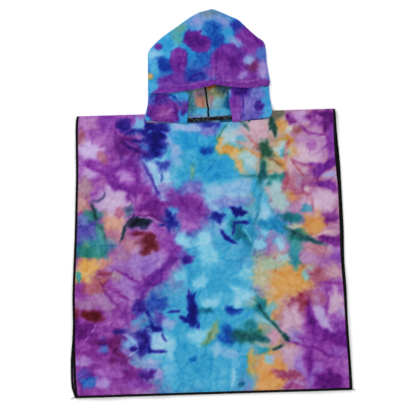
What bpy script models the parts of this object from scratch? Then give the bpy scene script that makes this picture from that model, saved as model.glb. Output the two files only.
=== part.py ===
"""Child's hooded bath poncho of thin towelling, laid flat on its back with the hood face up.

One length of cloth, folded at the shoulders, is both front and back. Two mirrored panels,
joined from the back neck over the crown to the brim, are the hood, which is sewn round a
slit in the front just below the fold. Metres, +Z up, +Y from the hem to the hood; the
origin is on the underside, below the middle of the plan. The tables are in millimetres,
with Y counted from the hem and X from the middle of the shoulders.
"""

import math
from collections import namedtuple

import bmesh
import bpy

MM = 0.001

CLOTH = 1.5          # wall of the towelling
LAYER_GAP = 0.3      # between two layers that lie on each other, and between pieces at a seam
BODY_LENGTH = 605.0  # shoulder fold to hem
CROWN_HEIGHT = 827.0  # hem to the top of the hood

LAYER = CLOTH + LAYER_GAP        # middle of one layer to the middle of the next
FLOOR_LAYER = CLOTH / 2          # height of the middle of a layer that lies on the floor
ON_YOKE = FLOOR_LAYER + 2 * LAYER  # the same, lying on the folded body

# Body: where its four side edges run. The back panel peeks out past the front in places.
Edge = namedtuple("Edge", "height front_left front_right back_left back_right")
BODY_EDGES = [
    Edge(0.0, -292.5, 301.5, -293.5, 303.0),
    Edge(22.0, -294.0, 301.0, -300.0, 302.5),
    Edge(50.0, -295.0, 300.5, -301.0, 301.5),
    Edge(85.0, -295.0, 299.0, -300.0, 300.0),
    Edge(115.0, -294.5, 297.5, -296.5, 298.5),
    Edge(160.0, -293.0, 296.0, -293.0, 297.0),
    Edge(215.0, -292.5, 294.5, -292.0, 296.5),
    Edge(280.0, -288.5, 291.0, -288.0, 293.5),
    Edge(345.0, -284.0, 290.5, -283.0, 294.0),
    Edge(430.0, -279.5, 289.5, -278.5, 292.0),
    Edge(484.0, -277.0, 286.0, -276.5, 290.5),
    Edge(530.0, -276.0, 284.0, -275.5, 287.5),
    Edge(575.0, -275.0, 284.0, -275.0, 285.0),
    Edge(597.0, -273.5, 284.0, -273.5, 284.5),
    Edge(BODY_LENGTH, -271.5, 283.0, -271.5, 283.0),
]
BODY_COLUMNS = 22            # strips across the body
ROWS_PER_GAP = 2             # strips between two rows of a table
FOLD_STEPS = 6               # flats round a turned layer

# Neck slit: a long narrow opening in the front layer, a little below the shoulder fold.
SLIT_LEFT = -122.0
SLIT_RIGHT = 138.0
SLIT_FRONT = 582.5           # its front edge at the middle
SLIT_BACK = 590.5            # its back edge
SLIT_END_RISE = 4.5          # the front edge is this much higher at the slit's ends
SLIT_MARGIN = 4.0            # no strip in front of the slit is narrower than this
SLIT_PLACE = len(BODY_EDGES) - 2.4  # its place in the table of edges, between two rows

# Hood: each row runs from the back seam out to the side, turns over, and runs back in.
# seam_* is the row's end on the back seam, side_* its outermost point, and front_* its end
# on the front layer: the face edge below the brim, and the crown seam above it.
HoodRow = namedtuple("HoodRow", "seam_x seam_y side_x side_y front_x front_y")
LEFT_SIDE = [
    HoodRow(10.0, 588.5, -122.5, 590.0, -35.5, 582.0),
    HoodRow(9.5, 593.0, -124.0, 594.5, -34.5, 588.2),
    HoodRow(9.0, 600.0, -124.5, 601.0, -33.5, 597.0),
    HoodRow(8.0, 612.0, -121.5, 613.0, -32.5, 610.0),
    HoodRow(6.5, 630.0, -118.0, 630.0, -31.0, 630.0),
    HoodRow(4.0, 648.0, -117.0, 648.0, -30.0, 648.0),
]
LEFT_CROWN = [
    HoodRow(4.0, 648.0, -117.0, 648.0, 26.8, 664.0),
    HoodRow(2.5, 664.0, -116.7, 664.0, 28.0, 677.0),
    HoodRow(3.0, 684.0, -116.2, 688.0, 29.5, 694.0),
    HoodRow(7.0, 706.0, -115.3, 714.0, 30.5, 712.0),
    HoodRow(12.0, 728.0, -114.0, 737.0, 29.5, 731.0),
    HoodRow(16.0, 745.0, -102.0, 753.0, 28.5, 747.0),
    HoodRow(19.0, 760.0, -81.0, 771.0, 27.5, 761.0),
    HoodRow(21.5, 772.0, -50.0, 791.5, 27.0, 773.0),
    HoodRow(23.5, 782.0, -24.0, 809.0, 26.5, 783.0),
    HoodRow(25.0, 790.0, -4.0, 819.5, 26.0, 790.5),
    HoodRow(25.6, 796.0, 12.0, 823.5, 25.8, 796.0),
    HoodRow(25.6, 800.0, 25.25, CROWN_HEIGHT, 25.6, 800.0),
]
RIGHT_SIDE = [
    HoodRow(10.0, 588.5, 138.5, 589.0, 62.5, 582.0),
    HoodRow(9.5, 593.0, 144.0, 593.5, 61.8, 588.2),
    HoodRow(9.0, 600.0, 148.0, 601.0, 60.5, 597.0),
    HoodRow(8.0, 612.0, 147.0, 613.5, 58.5, 611.0),
    HoodRow(6.5, 630.0, 144.0, 632.0, 56.0, 634.0),
    HoodRow(4.0, 648.0, 142.5, 657.0, 57.0, 655.0),
]
RIGHT_CROWN = [
    HoodRow(4.0, 648.0, 142.5, 657.0, 26.8, 664.0),
    HoodRow(2.5, 664.0, 145.0, 667.0, 28.0, 677.0),
    HoodRow(3.0, 684.0, 142.5, 685.0, 29.5, 694.0),
    HoodRow(7.0, 706.0, 139.5, 708.0, 30.5, 712.0),
    HoodRow(12.0, 728.0, 138.0, 735.0, 29.5, 731.0),
    HoodRow(16.0, 745.0, 134.0, 753.0, 28.5, 747.0),
    HoodRow(19.0, 760.0, 120.5, 764.0, 27.5, 761.0),
    HoodRow(21.5, 772.0, 104.0, 779.0, 27.0, 773.0),
    HoodRow(23.5, 782.0, 82.0, 801.0, 26.5, 783.0),
    HoodRow(25.0, 790.0, 62.0, 811.0, 26.0, 790.5),
    HoodRow(25.6, 796.0, 42.0, 820.5, 25.8, 796.0),
    HoodRow(25.6, 800.0, 25.95, CROWN_HEIGHT, 25.6, 800.0),
]
HOOD_COLUMNS = 8             # strips across each layer of a hood panel
STEP_DOWN_FROM = 606.0       # the hood leaves the shoulder fold here
STEP_DOWN_TO = 630.0         # and lies on the floor from here on
BRIM_SETTLES = 28.0          # the brim, lying on the side flaps, is down again this far above
BRIM_SAG = 4.5               # the brim's edge hangs this much below a straight line
BRIM_START = 1.0             # and starts this much above the end of the turned side
BRIM_LIFT = 1.5 * LAYER      # the turned side parts into flap and brim at this height
FLAP_DIP = 2.0               # beside the turned side the flaps' top edges dip this much
TUCK_STARTS = 9.0            # from here, inward from the side, they pass under the brim,
TUCK_ENDS = 19.8             # and from here on
FLAP_TUCK = 5.0              # they reach this far under it
FLAP_CORNER = 11.0           # width of the flaps' rounded top corners
CORNER_DROP = 8.0            # height of the same
NECK_SEAM_RUN = 26.0         # the flap comes down to the front neckline this far in from the side

LEFTMOST = min(edge.back_left for edge in BODY_EDGES)
RIGHTMOST = max(edge.back_right for edge in BODY_EDGES)
MIDDLE_X = (LEFTMOST + RIGHTMOST) / 2
MIDDLE_Y = CROWN_HEIGHT / 2


def ease(value, start, stop):
    """0 before start, 1 after stop, and a smooth rise between them."""
    share = min(1.0, max(0.0, (value - start) / (stop - start)))
    return share * share * (3 - 2 * share)


def mix(first, second, share):
    return first + (second - first) * share


def between(rows, place):
    """The table's row at place, a row number with a fraction, on a smooth curve."""
    index = min(int(place), len(rows) - 2)
    share = place - index
    before = rows[max(index - 1, 0)]
    start = rows[index]
    stop = rows[index + 1]
    after = rows[min(index + 2, len(rows) - 1)]
    values = []
    for a, b, c, d in zip(before, start, stop, after):
        bend = (2 * a - 5 * b + 4 * c - d) * share ** 2 + (3 * (b - c) + d - a) * share ** 3
        values.append(b + 0.5 * ((c - a) * share + bend))
    return type(start)(*values)


def refined(rows, per_gap):
    steps = (len(rows) - 1) * per_gap
    return [between(rows, step / per_gap) for step in range(steps + 1)]


def material(name, colour, roughness):
    cloth = bpy.data.materials.new(name)
    cloth.use_nodes = True
    shader = cloth.node_tree.nodes["Principled BSDF"]
    shader.inputs["Base Color"].default_value = (*colour, 1.0)
    shader.inputs["Roughness"].default_value = roughness
    shader.inputs["Metallic"].default_value = 0.0
    return cloth


def piece(name, points, faces, cloth):
    """A named object: the sheet of faces through points, given the wall of the cloth."""
    sheet = bmesh.new()
    corners = [sheet.verts.new(((x - MIDDLE_X) * MM, (y - MIDDLE_Y) * MM, z * MM)) for x, y, z in points]
    for face in faces:
        sheet.faces.new([corners[corner] for corner in face])
    loose = [corner for corner in sheet.verts if not corner.link_faces]
    bmesh.ops.delete(sheet, geom=loose, context="VERTS")
    mesh = bpy.data.meshes.new(name)
    sheet.to_mesh(mesh)
    sheet.free()
    mesh.materials.append(cloth)
    mesh.shade_smooth()
    mesh.set_sharp_from_angle(angle=math.radians(50))
    made = bpy.data.objects.new(name, mesh)
    bpy.context.scene.collection.objects.link(made)
    wall = made.modifiers.new("wall", "SOLIDIFY")
    wall.thickness = CLOTH * MM
    wall.offset = 0.0
    wall.use_even_offset = True
    wall.use_quality_normals = True
    return made


def slit_front(x):
    """The slit's front edge, which rises towards its ends."""
    middle = (SLIT_LEFT + SLIT_RIGHT) / 2
    reach = (SLIT_RIGHT - SLIT_LEFT) / 2
    return SLIT_FRONT + SLIT_END_RISE * min(1.0, ((x - middle) / reach) ** 2)


def make_body(cloth):
    """Back panel from the hem up, over the shoulder fold, and the front panel down again."""
    front_layer = FLOOR_LAYER + LAYER
    turn = LAYER / 2
    turn_centre = BODY_LENGTH - turn - CLOTH / 2
    strips = [step / BODY_COLUMNS for step in range(BODY_COLUMNS + 1)]
    edges = [edge for edge in refined(BODY_EDGES, ROWS_PER_GAP) if edge.height < turn_centre - CLOTH]
    below_slit = [edge for edge in edges if edge.height < SLIT_FRONT - SLIT_MARGIN]
    above_slit = [edge for edge in edges if edge.height > SLIT_BACK + CLOTH]
    at_slit = between(BODY_EDGES, SLIT_PLACE)
    body_width = at_slit.front_right - at_slit.front_left
    left_strip = round(BODY_COLUMNS * (SLIT_LEFT - at_slit.front_left) / body_width)
    right_strip = round(BODY_COLUMNS * (SLIT_RIGHT - at_slit.front_left) / body_width)

    points = []

    def add_row(left, right, height, layer):
        for share in strips:
            x = mix(left, right, share)
            points.append((x, height(x), layer))

    for edge in edges:
        add_row(edge.back_left, edge.back_right, lambda x, y=edge.height: y, FLOOR_LAYER)
    for step in range(FOLD_STEPS + 1):
        angle = math.pi * step / FOLD_STEPS
        height = turn_centre + turn * math.sin(angle)
        layer = FLOOR_LAYER + turn * (1 - math.cos(angle))
        top = BODY_EDGES[-1]
        add_row(top.front_left, top.front_right, lambda x, y=height: y, layer)
    for edge in reversed(above_slit):
        add_row(edge.front_left, edge.front_right, lambda x, y=edge.height: y, front_layer)
    slit_row = len(points) // len(strips)
    add_row(at_slit.front_left, at_slit.front_right, lambda x: SLIT_BACK, front_layer)
    add_row(at_slit.front_left, at_slit.front_right, slit_front, front_layer)
    for edge in reversed(below_slit):
        add_row(edge.front_left, edge.front_right, lambda x, y=edge.height: y, front_layer)

    faces = []
    row_count = len(points) // len(strips)
    for row in range(row_count - 1):
        for strip in range(BODY_COLUMNS):
            if row == slit_row and left_strip <= strip < right_strip:
                continue
            first = row * len(strips) + strip
            faces.append((first, first + 1, first + 1 + len(strips), first + len(strips)))
    return piece("body_cloth", points, faces, cloth)


def back_layer_height(y):
    """The middle of the hood's back layer: up on the yoke, then down to the floor."""
    return mix(ON_YOKE, FLOOR_LAYER, ease(y, STEP_DOWN_FROM, STEP_DOWN_TO))


def outward(rows, index):
    """Unit direction in plan, square to the hood's outline, away from the hood."""
    first = rows[max(index - 1, 0)]
    last = rows[min(index + 1, len(rows) - 1)]
    along_x = last.side_x - first.side_x
    along_y = last.side_y - first.side_y
    length = math.hypot(along_x, along_y)
    side = 1.0 if rows[0].side_x > rows[0].seam_x else -1.0
    return side * along_y / length, -side * along_x / length


def hood_row(row, way, lift):
    """Points of one row in two lists: the back layer with the turned side, and the front
    layer, which lies lift above the back one. way is the direction out of the side."""
    turn = lift / 2
    inset = turn + CLOTH / 2
    centre_x = row.side_x - way[0] * inset
    centre_y = row.side_y - way[1] * inset
    back = []
    for step in range(HOOD_COLUMNS):
        x = mix(row.seam_x, centre_x, step / HOOD_COLUMNS)
        y = mix(row.seam_y, centre_y, step / HOOD_COLUMNS)
        back.append((x, y, back_layer_height(y)))
    base = back_layer_height(centre_y)
    for step in range(FOLD_STEPS + 1):
        angle = math.pi * step / FOLD_STEPS
        reach = turn * math.sin(angle)
        rise = turn * (1 - math.cos(angle))
        back.append((centre_x + way[0] * reach, centre_y + way[1] * reach, base + rise))
    front = []
    for step in range(1, HOOD_COLUMNS + 1):
        x = mix(centre_x, row.front_x, step / HOOD_COLUMNS)
        y = mix(centre_y, row.front_y, step / HOOD_COLUMNS)
        front.append((x, y, back_layer_height(y) + lift))
    return back, front


def neck_edge(row, front):
    """The flap's lowest row comes down to the front neckline a little in from the side."""
    return [(x, y, mix(z, ON_YOKE, ease(abs(x - row.side_x), 0.0, NECK_SEAM_RUN)))
            for x, y, z in front]


def flap_top(row, front):
    """The flap's top row: tucked under the brim, and rounded off at the face edge."""
    run = abs(row.side_x - row.front_x)
    moved = []
    for x, y, z in front:
        from_side = abs(x - row.side_x)
        y -= FLAP_DIP * ease(from_side, 0.0, TUCK_STARTS)
        y += (FLAP_DIP + FLAP_TUCK) * ease(from_side, TUCK_STARTS, TUCK_ENDS)
        y -= CORNER_DROP * ease(from_side, run - FLAP_CORNER, run)
        moved.append((x, y, z - LAYER / 2))
    return moved


def brim_edge(row, front):
    """The crown's lowest row: it sags, except where it leaves the turned side."""
    moved = []
    for step, (x, y, z) in enumerate(front, 1):
        y -= BRIM_SAG * math.sin(math.pi * step / HOOD_COLUMNS)
        if step == 1:
            y = max(y, row.side_y + BRIM_START)
        moved.append((x, y, z + LAYER / 2))
    return moved


def make_hood_half(name, side_rows, crown_rows, shift, cloth):
    """One hood panel. Below the brim its front layer is the side flap, which ends at the
    face edge; above, it is the crown, whose brim lies on the flap. The two part at a slot
    that runs from the face opening out to the side."""
    side_rows = refined(side_rows, ROWS_PER_GAP)
    crown_rows = refined(crown_rows, ROWS_PER_GAP)
    brim_way = outward(side_rows, len(side_rows) - 1)
    rows = []
    for index, row in enumerate(side_rows[:-1]):
        back, front = hood_row(row, outward(side_rows, index), LAYER)
        if index == 0:
            front = neck_edge(row, front)
        rows.append(back + front)
    back, front = hood_row(side_rows[-1], brim_way, BRIM_LIFT)
    rows.append(back + flap_top(side_rows[-1], front))
    back, front = hood_row(crown_rows[0], brim_way, BRIM_LIFT)
    brim_row = len(rows)
    rows.append(back + brim_edge(crown_rows[0], front))
    for index, row in enumerate(crown_rows[1:], 1):
        above_brim = row.side_y - crown_rows[0].side_y
        lift = mix(2 * LAYER, LAYER, ease(above_brim, 0.0, BRIM_SETTLES))
        way = outward(crown_rows, index) if row is not crown_rows[-1] else (0.0, 1.0)
        back, front = hood_row(row, way, lift)
        rows.append(back + front)

    width = len(rows[0])
    shared = width - HOOD_COLUMNS
    points = [(x + shift, y, z) for row in rows for x, y, z in row]

    def corner(row, column):
        """Number of a point: up to the front layer, the brim's row is the flap's top row."""
        if row == brim_row and column < shared:
            row = brim_row - 1
        return row * width + column

    faces = []
    for row in range(len(rows) - 1):
        if row != brim_row - 1:
            for column in range(width - 1):
                faces.append((corner(row, column), corner(row, column + 1),
                              corner(row + 1, column + 1), corner(row + 1, column)))
    return piece(name, points, faces, cloth)


for old in list(bpy.data.objects):
    bpy.data.objects.remove(old)

make_body(material("body_towelling", (0.30, 0.46, 0.66), 0.9))
make_hood_half("hood_left", LEFT_SIDE, LEFT_CROWN, -LAYER_GAP / 2,
               material("hood_left_towelling", (0.13, 0.42, 0.66), 0.9))
make_hood_half("hood_right", RIGHT_SIDE, RIGHT_CROWN, LAYER_GAP / 2,
               material("hood_right_towelling", (0.36, 0.13, 0.52), 0.9))
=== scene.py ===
import math
from collections import namedtuple

import bpy
import numpy as np
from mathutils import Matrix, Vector


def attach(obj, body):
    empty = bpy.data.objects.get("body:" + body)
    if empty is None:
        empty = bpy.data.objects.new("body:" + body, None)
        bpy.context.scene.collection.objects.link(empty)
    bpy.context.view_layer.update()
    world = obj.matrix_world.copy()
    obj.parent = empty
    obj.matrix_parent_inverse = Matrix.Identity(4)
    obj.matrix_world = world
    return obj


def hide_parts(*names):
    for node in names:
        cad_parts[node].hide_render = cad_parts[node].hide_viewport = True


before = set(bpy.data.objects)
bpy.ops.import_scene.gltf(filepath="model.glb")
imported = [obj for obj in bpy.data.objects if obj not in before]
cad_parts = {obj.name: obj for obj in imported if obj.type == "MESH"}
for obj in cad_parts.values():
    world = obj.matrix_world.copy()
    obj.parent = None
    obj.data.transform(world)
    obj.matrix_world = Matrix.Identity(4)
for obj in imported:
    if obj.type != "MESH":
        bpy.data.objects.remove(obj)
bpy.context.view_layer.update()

collection = bpy.context.scene.collection

# ---- The studio ---------------------------------------------------------------------------
# The poncho lies flat on a pale table and is seen from straight above, turned a little.
# Two large soft lamps stand to its sides, and a pale room fills the shadows. The table glows
# faintly, so that it stays white round the cloth.
VIEW_HEIGHT = 2.981
VIEW_CENTRE = (0.0032, -0.0138)
VIEW_TURN = math.radians(-1.71)

camera_data = bpy.data.cameras.new("camera")
camera_data.lens = 120.0
camera_data.sensor_width = 36.0
camera_data.clip_end = 20.0
camera = bpy.data.objects.new("camera", camera_data)
camera.location = (*VIEW_CENTRE, VIEW_HEIGHT)
camera.rotation_euler = (0.0, 0.0, VIEW_TURN)
collection.objects.link(camera)
bpy.context.scene.camera = camera
bpy.context.scene.view_settings.view_transform = "Standard"


def soft_lamp(name, place, aim, size, power):
    lamp_data = bpy.data.lights.new(name, "AREA")
    lamp_data.shape = "DISK"
    lamp_data.size = size
    lamp_data.energy = power
    lamp = bpy.data.objects.new(name, lamp_data)
    lamp.location = place
    lamp.rotation_euler = (Vector(aim) - Vector(place)).to_track_quat("-Z", "Y").to_euler()
    collection.objects.link(lamp)


soft_lamp("window_lamp", place=(-1.9, 1.7, 1.9), aim=(0.0, 0.0, 0.0), size=1.6, power=60.0)
soft_lamp("far_lamp", place=(2.2, -1.6, 2.4), aim=(0.0, 0.0, 0.0), size=2.2, power=26.0)

room = bpy.data.worlds.new("pale_room")
room.use_nodes = True
room.node_tree.nodes["Background"].inputs["Color"].default_value = (1.0, 1.0, 1.0, 1.0)
room.node_tree.nodes["Background"].inputs["Strength"].default_value = 0.57
bpy.context.scene.world = room


class Socket:
    """One output of a node. Sums and products written with it add the nodes that do them."""

    def __init__(self, tree, output):
        self.tree = tree
        self.output = output

    def _maths(self, operation, *values):
        return self.tree.node("ShaderNodeMath", {"operation": operation}, *values)

    def __add__(self, other):
        return self._maths("ADD", self, other)

    def __sub__(self, other):
        return self._maths("SUBTRACT", self, other)

    def __rsub__(self, other):
        return self._maths("SUBTRACT", other, self)

    def __mul__(self, other):
        return self._maths("MULTIPLY", self, other)

    def __neg__(self):
        return self._maths("MULTIPLY", self, -1.0)

    __radd__ = __add__
    __rmul__ = __mul__

    def exponent(self):
        return self._maths("EXPONENT", self)

    def step(self, start, stop):
        """0 up to start, 1 from stop on, smooth between; start may be the larger one."""
        settings = {"interpolation_type": "SMOOTHSTEP"}
        flip = start > stop
        low, high = min(start, stop), max(start, stop)
        rise = self.tree.node("ShaderNodeMapRange", settings, self, low, high)
        return 1.0 - rise if flip else rise


class Tree:
    """A node tree being written. node() adds one node and gives its first output."""

    def __init__(self, tree):
        self.tree = tree

    def node(self, kind, settings, *values, output=0, **named):
        made = self.tree.nodes.new(kind)
        for setting, value in settings.items():
            setattr(made, setting, value)
        given = list(enumerate(values)) + list(named.items())
        for key, value in given:
            numbered = isinstance(key, int) or key.isdigit()
            socket = made.inputs[int(key) if numbered else key.replace("_", " ")]
            if isinstance(value, Socket):
                self.tree.links.new(value.output, socket)
            else:
                socket.default_value = value
        return Socket(self, made.outputs[output])

    def blend(self, share, first, second):
        """A colour between two."""
        return self.node("ShaderNodeMix", {"data_type": "RGBA"}, output=2,
                         **{"0": share, "6": first, "7": second})

    def feed(self, shader, **values):
        """Links values to the shader's sockets."""
        for name, value in values.items():
            self.tree.links.new(value.output, shader.inputs[name.replace("_", " ")])


def new_material(name):
    """A material with its principled shader, and the tree to write into."""
    made = bpy.data.materials.new(name)
    made.use_nodes = True
    return made, made.node_tree.nodes["Principled BSDF"], Tree(made.node_tree)


table_material, table_shader, table_tree = new_material("pale_table")
table_shader.inputs["Base Color"].default_value = (0.93, 0.93, 0.94, 1.0)
table_shader.inputs["Roughness"].default_value = 0.9
table_shader.inputs["Emission Color"].default_value = (1.0, 1.0, 1.0, 1.0)
table_shader.inputs["Emission Strength"].default_value = 0.14
TABLE_HALF = 6.0
TABLE_DROP = -0.0006            # leaves room for the thread that wraps under the hem
table_mesh = bpy.data.meshes.new("table")
table_mesh.from_pydata(
    [(-TABLE_HALF, -TABLE_HALF, TABLE_DROP), (TABLE_HALF, -TABLE_HALF, TABLE_DROP),
     (TABLE_HALF, TABLE_HALF, TABLE_DROP), (-TABLE_HALF, TABLE_HALF, TABLE_DROP)],
    [], [(0, 1, 2, 3)])
table_mesh.materials.append(table_material)
table = bpy.data.objects.new("table", table_mesh)
collection.objects.link(table)

# ---- The body -----------------------------------------------------------------------------
# One length of thin towelling, folded at the shoulders, so the front lies on the back with no
# shoulder seam. The neck is a slit just below the fold. It is dyed in scrunched-up pools of
# cyan, purple and orange, which run into each other and leave dark veins along the creases.
CLOTH = 1.5                     # all sizes from here on in millimetres, y up from the hem
LAYER = 1.8                     # from one layer's middle to the next one's
FLOOR_LAYER = CLOTH / 2         # the middle of cloth that lies on the table
BODY_LENGTH = 605.0
BODY_WIDTH = 600.0
MIDDLE_X = 1.0                  # the frame's middle
MIDDLE_Y = 413.5
METRES = 0.001
SLIT_LEFT = -122.0
SLIT_RIGHT = 138.0
SLIT_FRONT = 582.5
SLIT_BACK = 590.5
SLIT_END_RISE = 4.5
SLIT_MARGIN = 3.5               # to the next row of points below the slit
BODY_STEP = 3.0                 # spacing of the front's points
BACK_STEP = 20.0
FOLD_STEPS = 6
ROWS_ABOVE_SLIT = (601.0, 598.0, 594.5)

Edge = namedtuple("Edge", "height front_left front_right back_left back_right")
BODY_EDGES = [
    Edge(0, -292.5, 301.5, -293.5, 303), Edge(22, -294, 301, -300, 302.5),
    Edge(50, -295, 300.5, -301, 301.5), Edge(85, -295, 299, -300, 300),
    Edge(115, -294.5, 297.5, -296.5, 298.5), Edge(160, -293, 296, -293, 297),
    Edge(215, -292.5, 294.5, -292, 296.5), Edge(280, -288.5, 291, -288, 293.5),
    Edge(345, -284, 290.5, -283, 294), Edge(430, -279.5, 289.5, -278.5, 292),
    Edge(484, -277, 286, -276.5, 290.5), Edge(530, -276, 284, -275.5, 287.5),
    Edge(575, -275, 284, -275, 285), Edge(597, -273.5, 284, -273.5, 284.5),
    Edge(605, -271.5, 283, -271.5, 283),
]


def ease(value, start, stop):
    """0 before start, 1 after stop, and a smooth rise between them."""
    share = np.clip((np.asarray(value, float) - start) / (stop - start), 0.0, 1.0)
    return share * share * (3.0 - 2.0 * share)


def mix(first, second, share):
    return first + (second - first) * share


def between(rows, place):
    """The table's row at place, a row number with a fraction, on a smooth curve."""
    index = min(int(place), len(rows) - 2)
    share = place - index
    before = rows[max(index - 1, 0)]
    start = rows[index]
    stop = rows[index + 1]
    after = rows[min(index + 2, len(rows) - 1)]
    values = []
    for a, b, c, d in zip(before, start, stop, after):
        bend = (2 * a - 5 * b + 4 * c - d) * share ** 2 + (3 * (b - c) + d - a) * share ** 3
        values.append(b + 0.5 * ((c - a) * share + bend))
    return type(start)(*values)


def edge_at(height):
    """The body's edges at a height above the hem."""
    index = 0
    while index < len(BODY_EDGES) - 2 and BODY_EDGES[index + 1].height < height:
        index += 1
    low, high = BODY_EDGES[index], BODY_EDGES[index + 1]
    return between(BODY_EDGES, index + (height - low.height) / (high.height - low.height))


LATTICE = 64                    # swells before the unevenness repeats
LATTICE_START = 400.0           # keeps the lattice's numbers above 0 all over the cloth


def ripple(x, y, size, seed):
    """Smooth unevenness from -1 to 1, its swells about size across."""
    lattice = np.random.RandomState(seed).uniform(-1.0, 1.0, (LATTICE, LATTICE))
    u = np.asarray(x, float) / size + LATTICE_START
    v = np.asarray(y, float) / size + LATTICE_START
    column, row = np.floor(u).astype(int), np.floor(v).astype(int)
    across, up = ease(u - column, 0.0, 1.0), ease(v - row, 0.0, 1.0)
    column, next_column = column % LATTICE, (column + 1) % LATTICE
    row, next_row = row % LATTICE, (row + 1) % LATTICE
    low = mix(lattice[row, column], lattice[row, next_column], across)
    high = mix(lattice[next_row, column], lattice[next_row, next_column], across)
    return mix(low, high, up)


# A crease is a soft ridge: its middle, length, direction, width and height.
Crease = namedtuple("Crease", "x y length turn width height")
BODY_CREASES = [
    Crease(-117, 593, 26, 65, 3.0, 2.2), Crease(-136, 588, 40, 25, 4.0, 1.8),
    Crease(-150, 572, 60, 10, 5.0, 1.3), Crease(-128, 560, 52, 70, 5.0, 1.2),
    Crease(-190, 540, 90, -20, 7.0, 1.0), Crease(-240, 500, 70, 35, 6.0, 0.8),
    Crease(-215, 360, 120, 60, 9.0, 1.1), Crease(-150, 300, 110, -30, 8.0, 0.9),
    Crease(-250, 230, 80, 15, 8.0, 0.9), Crease(-190, 120, 130, -40, 9.0, 1.2),
    Crease(-90, 210, 110, 30, 8.0, 0.9), Crease(-40, 330, 130, -15, 10.0, 0.9),
    Crease(-60, 500, 90, 50, 7.0, 1.0), Crease(20, 540, 110, -10, 8.0, 0.8),
    Crease(90, 520, 90, 30, 7.0, 0.9), Crease(60, 400, 140, 20, 10.0, 0.9),
    Crease(150, 450, 120, -35, 8.0, 1.1), Crease(230, 500, 110, 40, 8.0, 1.0),
    Crease(240, 380, 120, 15, 8.0, 1.0), Crease(170, 330, 110, 70, 8.0, 0.9),
    Crease(110, 250, 120, -25, 9.0, 0.9), Crease(210, 200, 110, 55, 8.0, 1.1),
    Crease(260, 120, 120, 30, 8.0, 1.1), Crease(80, 130, 120, -10, 8.0, 0.9),
    Crease(-20, 90, 120, 20, 9.0, 0.9), Crease(180, 60, 90, -30, 7.0, 1.0),
    Crease(-120, 60, 120, 10, 9.0, 0.9), Crease(156, 584, 46, -40, 4.0, 1.4),
]


def along_and_across(x, y, mark):
    """How far places are from a crease's or pool's middle, along it and across it."""
    turn = math.radians(mark.turn)
    along = (x - mark.x) * math.cos(turn) + (y - mark.y) * math.sin(turn)
    across = (y - mark.y) * math.cos(turn) - (x - mark.x) * math.sin(turn)
    return along, across


def creased(x, y, creases):
    """Height of the creases at places. They wander, and taper to both ends."""
    rise = np.zeros_like(x)
    for crease in creases:
        along, across = along_and_across(x, y, crease)
        across = across + crease.width * 0.9 * ripple(x, y, 34.0, 5)
        taper = 1.0 - ease(np.abs(along), 0.1 * crease.length, 0.5 * crease.length)
        rise += crease.height * taper * np.exp(-(across / crease.width) ** 2)
    return rise


BROAD_SWELL = 1.5
SMALL_SWELL = 0.5
EDGE_WAVE = 2.4                 # how far the open edges wave up
EDGE_WAVE_REACH = 14.0
HOOD_LEFT = -130.0              # under the hood the cloth is pressed flat
HOOD_RIGHT = 148.0
HOOD_FOOT = 578.0
HOOD_MARGIN = 30.0


def front_rise(x, y, edge_distance):
    """How far the front panel stands above lying dead flat: nothing under the hood."""
    swell = BROAD_SWELL * np.maximum(0.0, ripple(x, y, 105.0, 21))
    swell = swell + SMALL_SWELL * np.maximum(0.0, ripple(x, y, 38.0, 22))
    wave = EDGE_WAVE * np.maximum(0.0, ripple(x, y, 58.0, 23))
    wave = wave * np.exp(-edge_distance / EDGE_WAVE_REACH)
    past_sides = np.maximum(HOOD_LEFT - x, x - HOOD_RIGHT) / HOOD_MARGIN
    free = ease(np.maximum(past_sides, (HOOD_FOOT - y) / HOOD_MARGIN), 0.0, 1.0)
    at_neck_end = ease(-x, 112.0, 122.0) + ease(x, 143.0, 150.0)
    bunched = at_neck_end * ease(y, 560, 570) * 0.9
    return (swell + wave) * free + creased(x, y, BODY_CREASES) * np.maximum(free, bunched)


def slit_front(x):
    """The slit's front edge, which rises towards its ends."""
    middle = (SLIT_LEFT + SLIT_RIGHT) / 2
    reach = (SLIT_RIGHT - SLIT_LEFT) / 2
    return SLIT_FRONT + SLIT_END_RISE * np.minimum(1.0, ((x - middle) / reach) ** 2)


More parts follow.
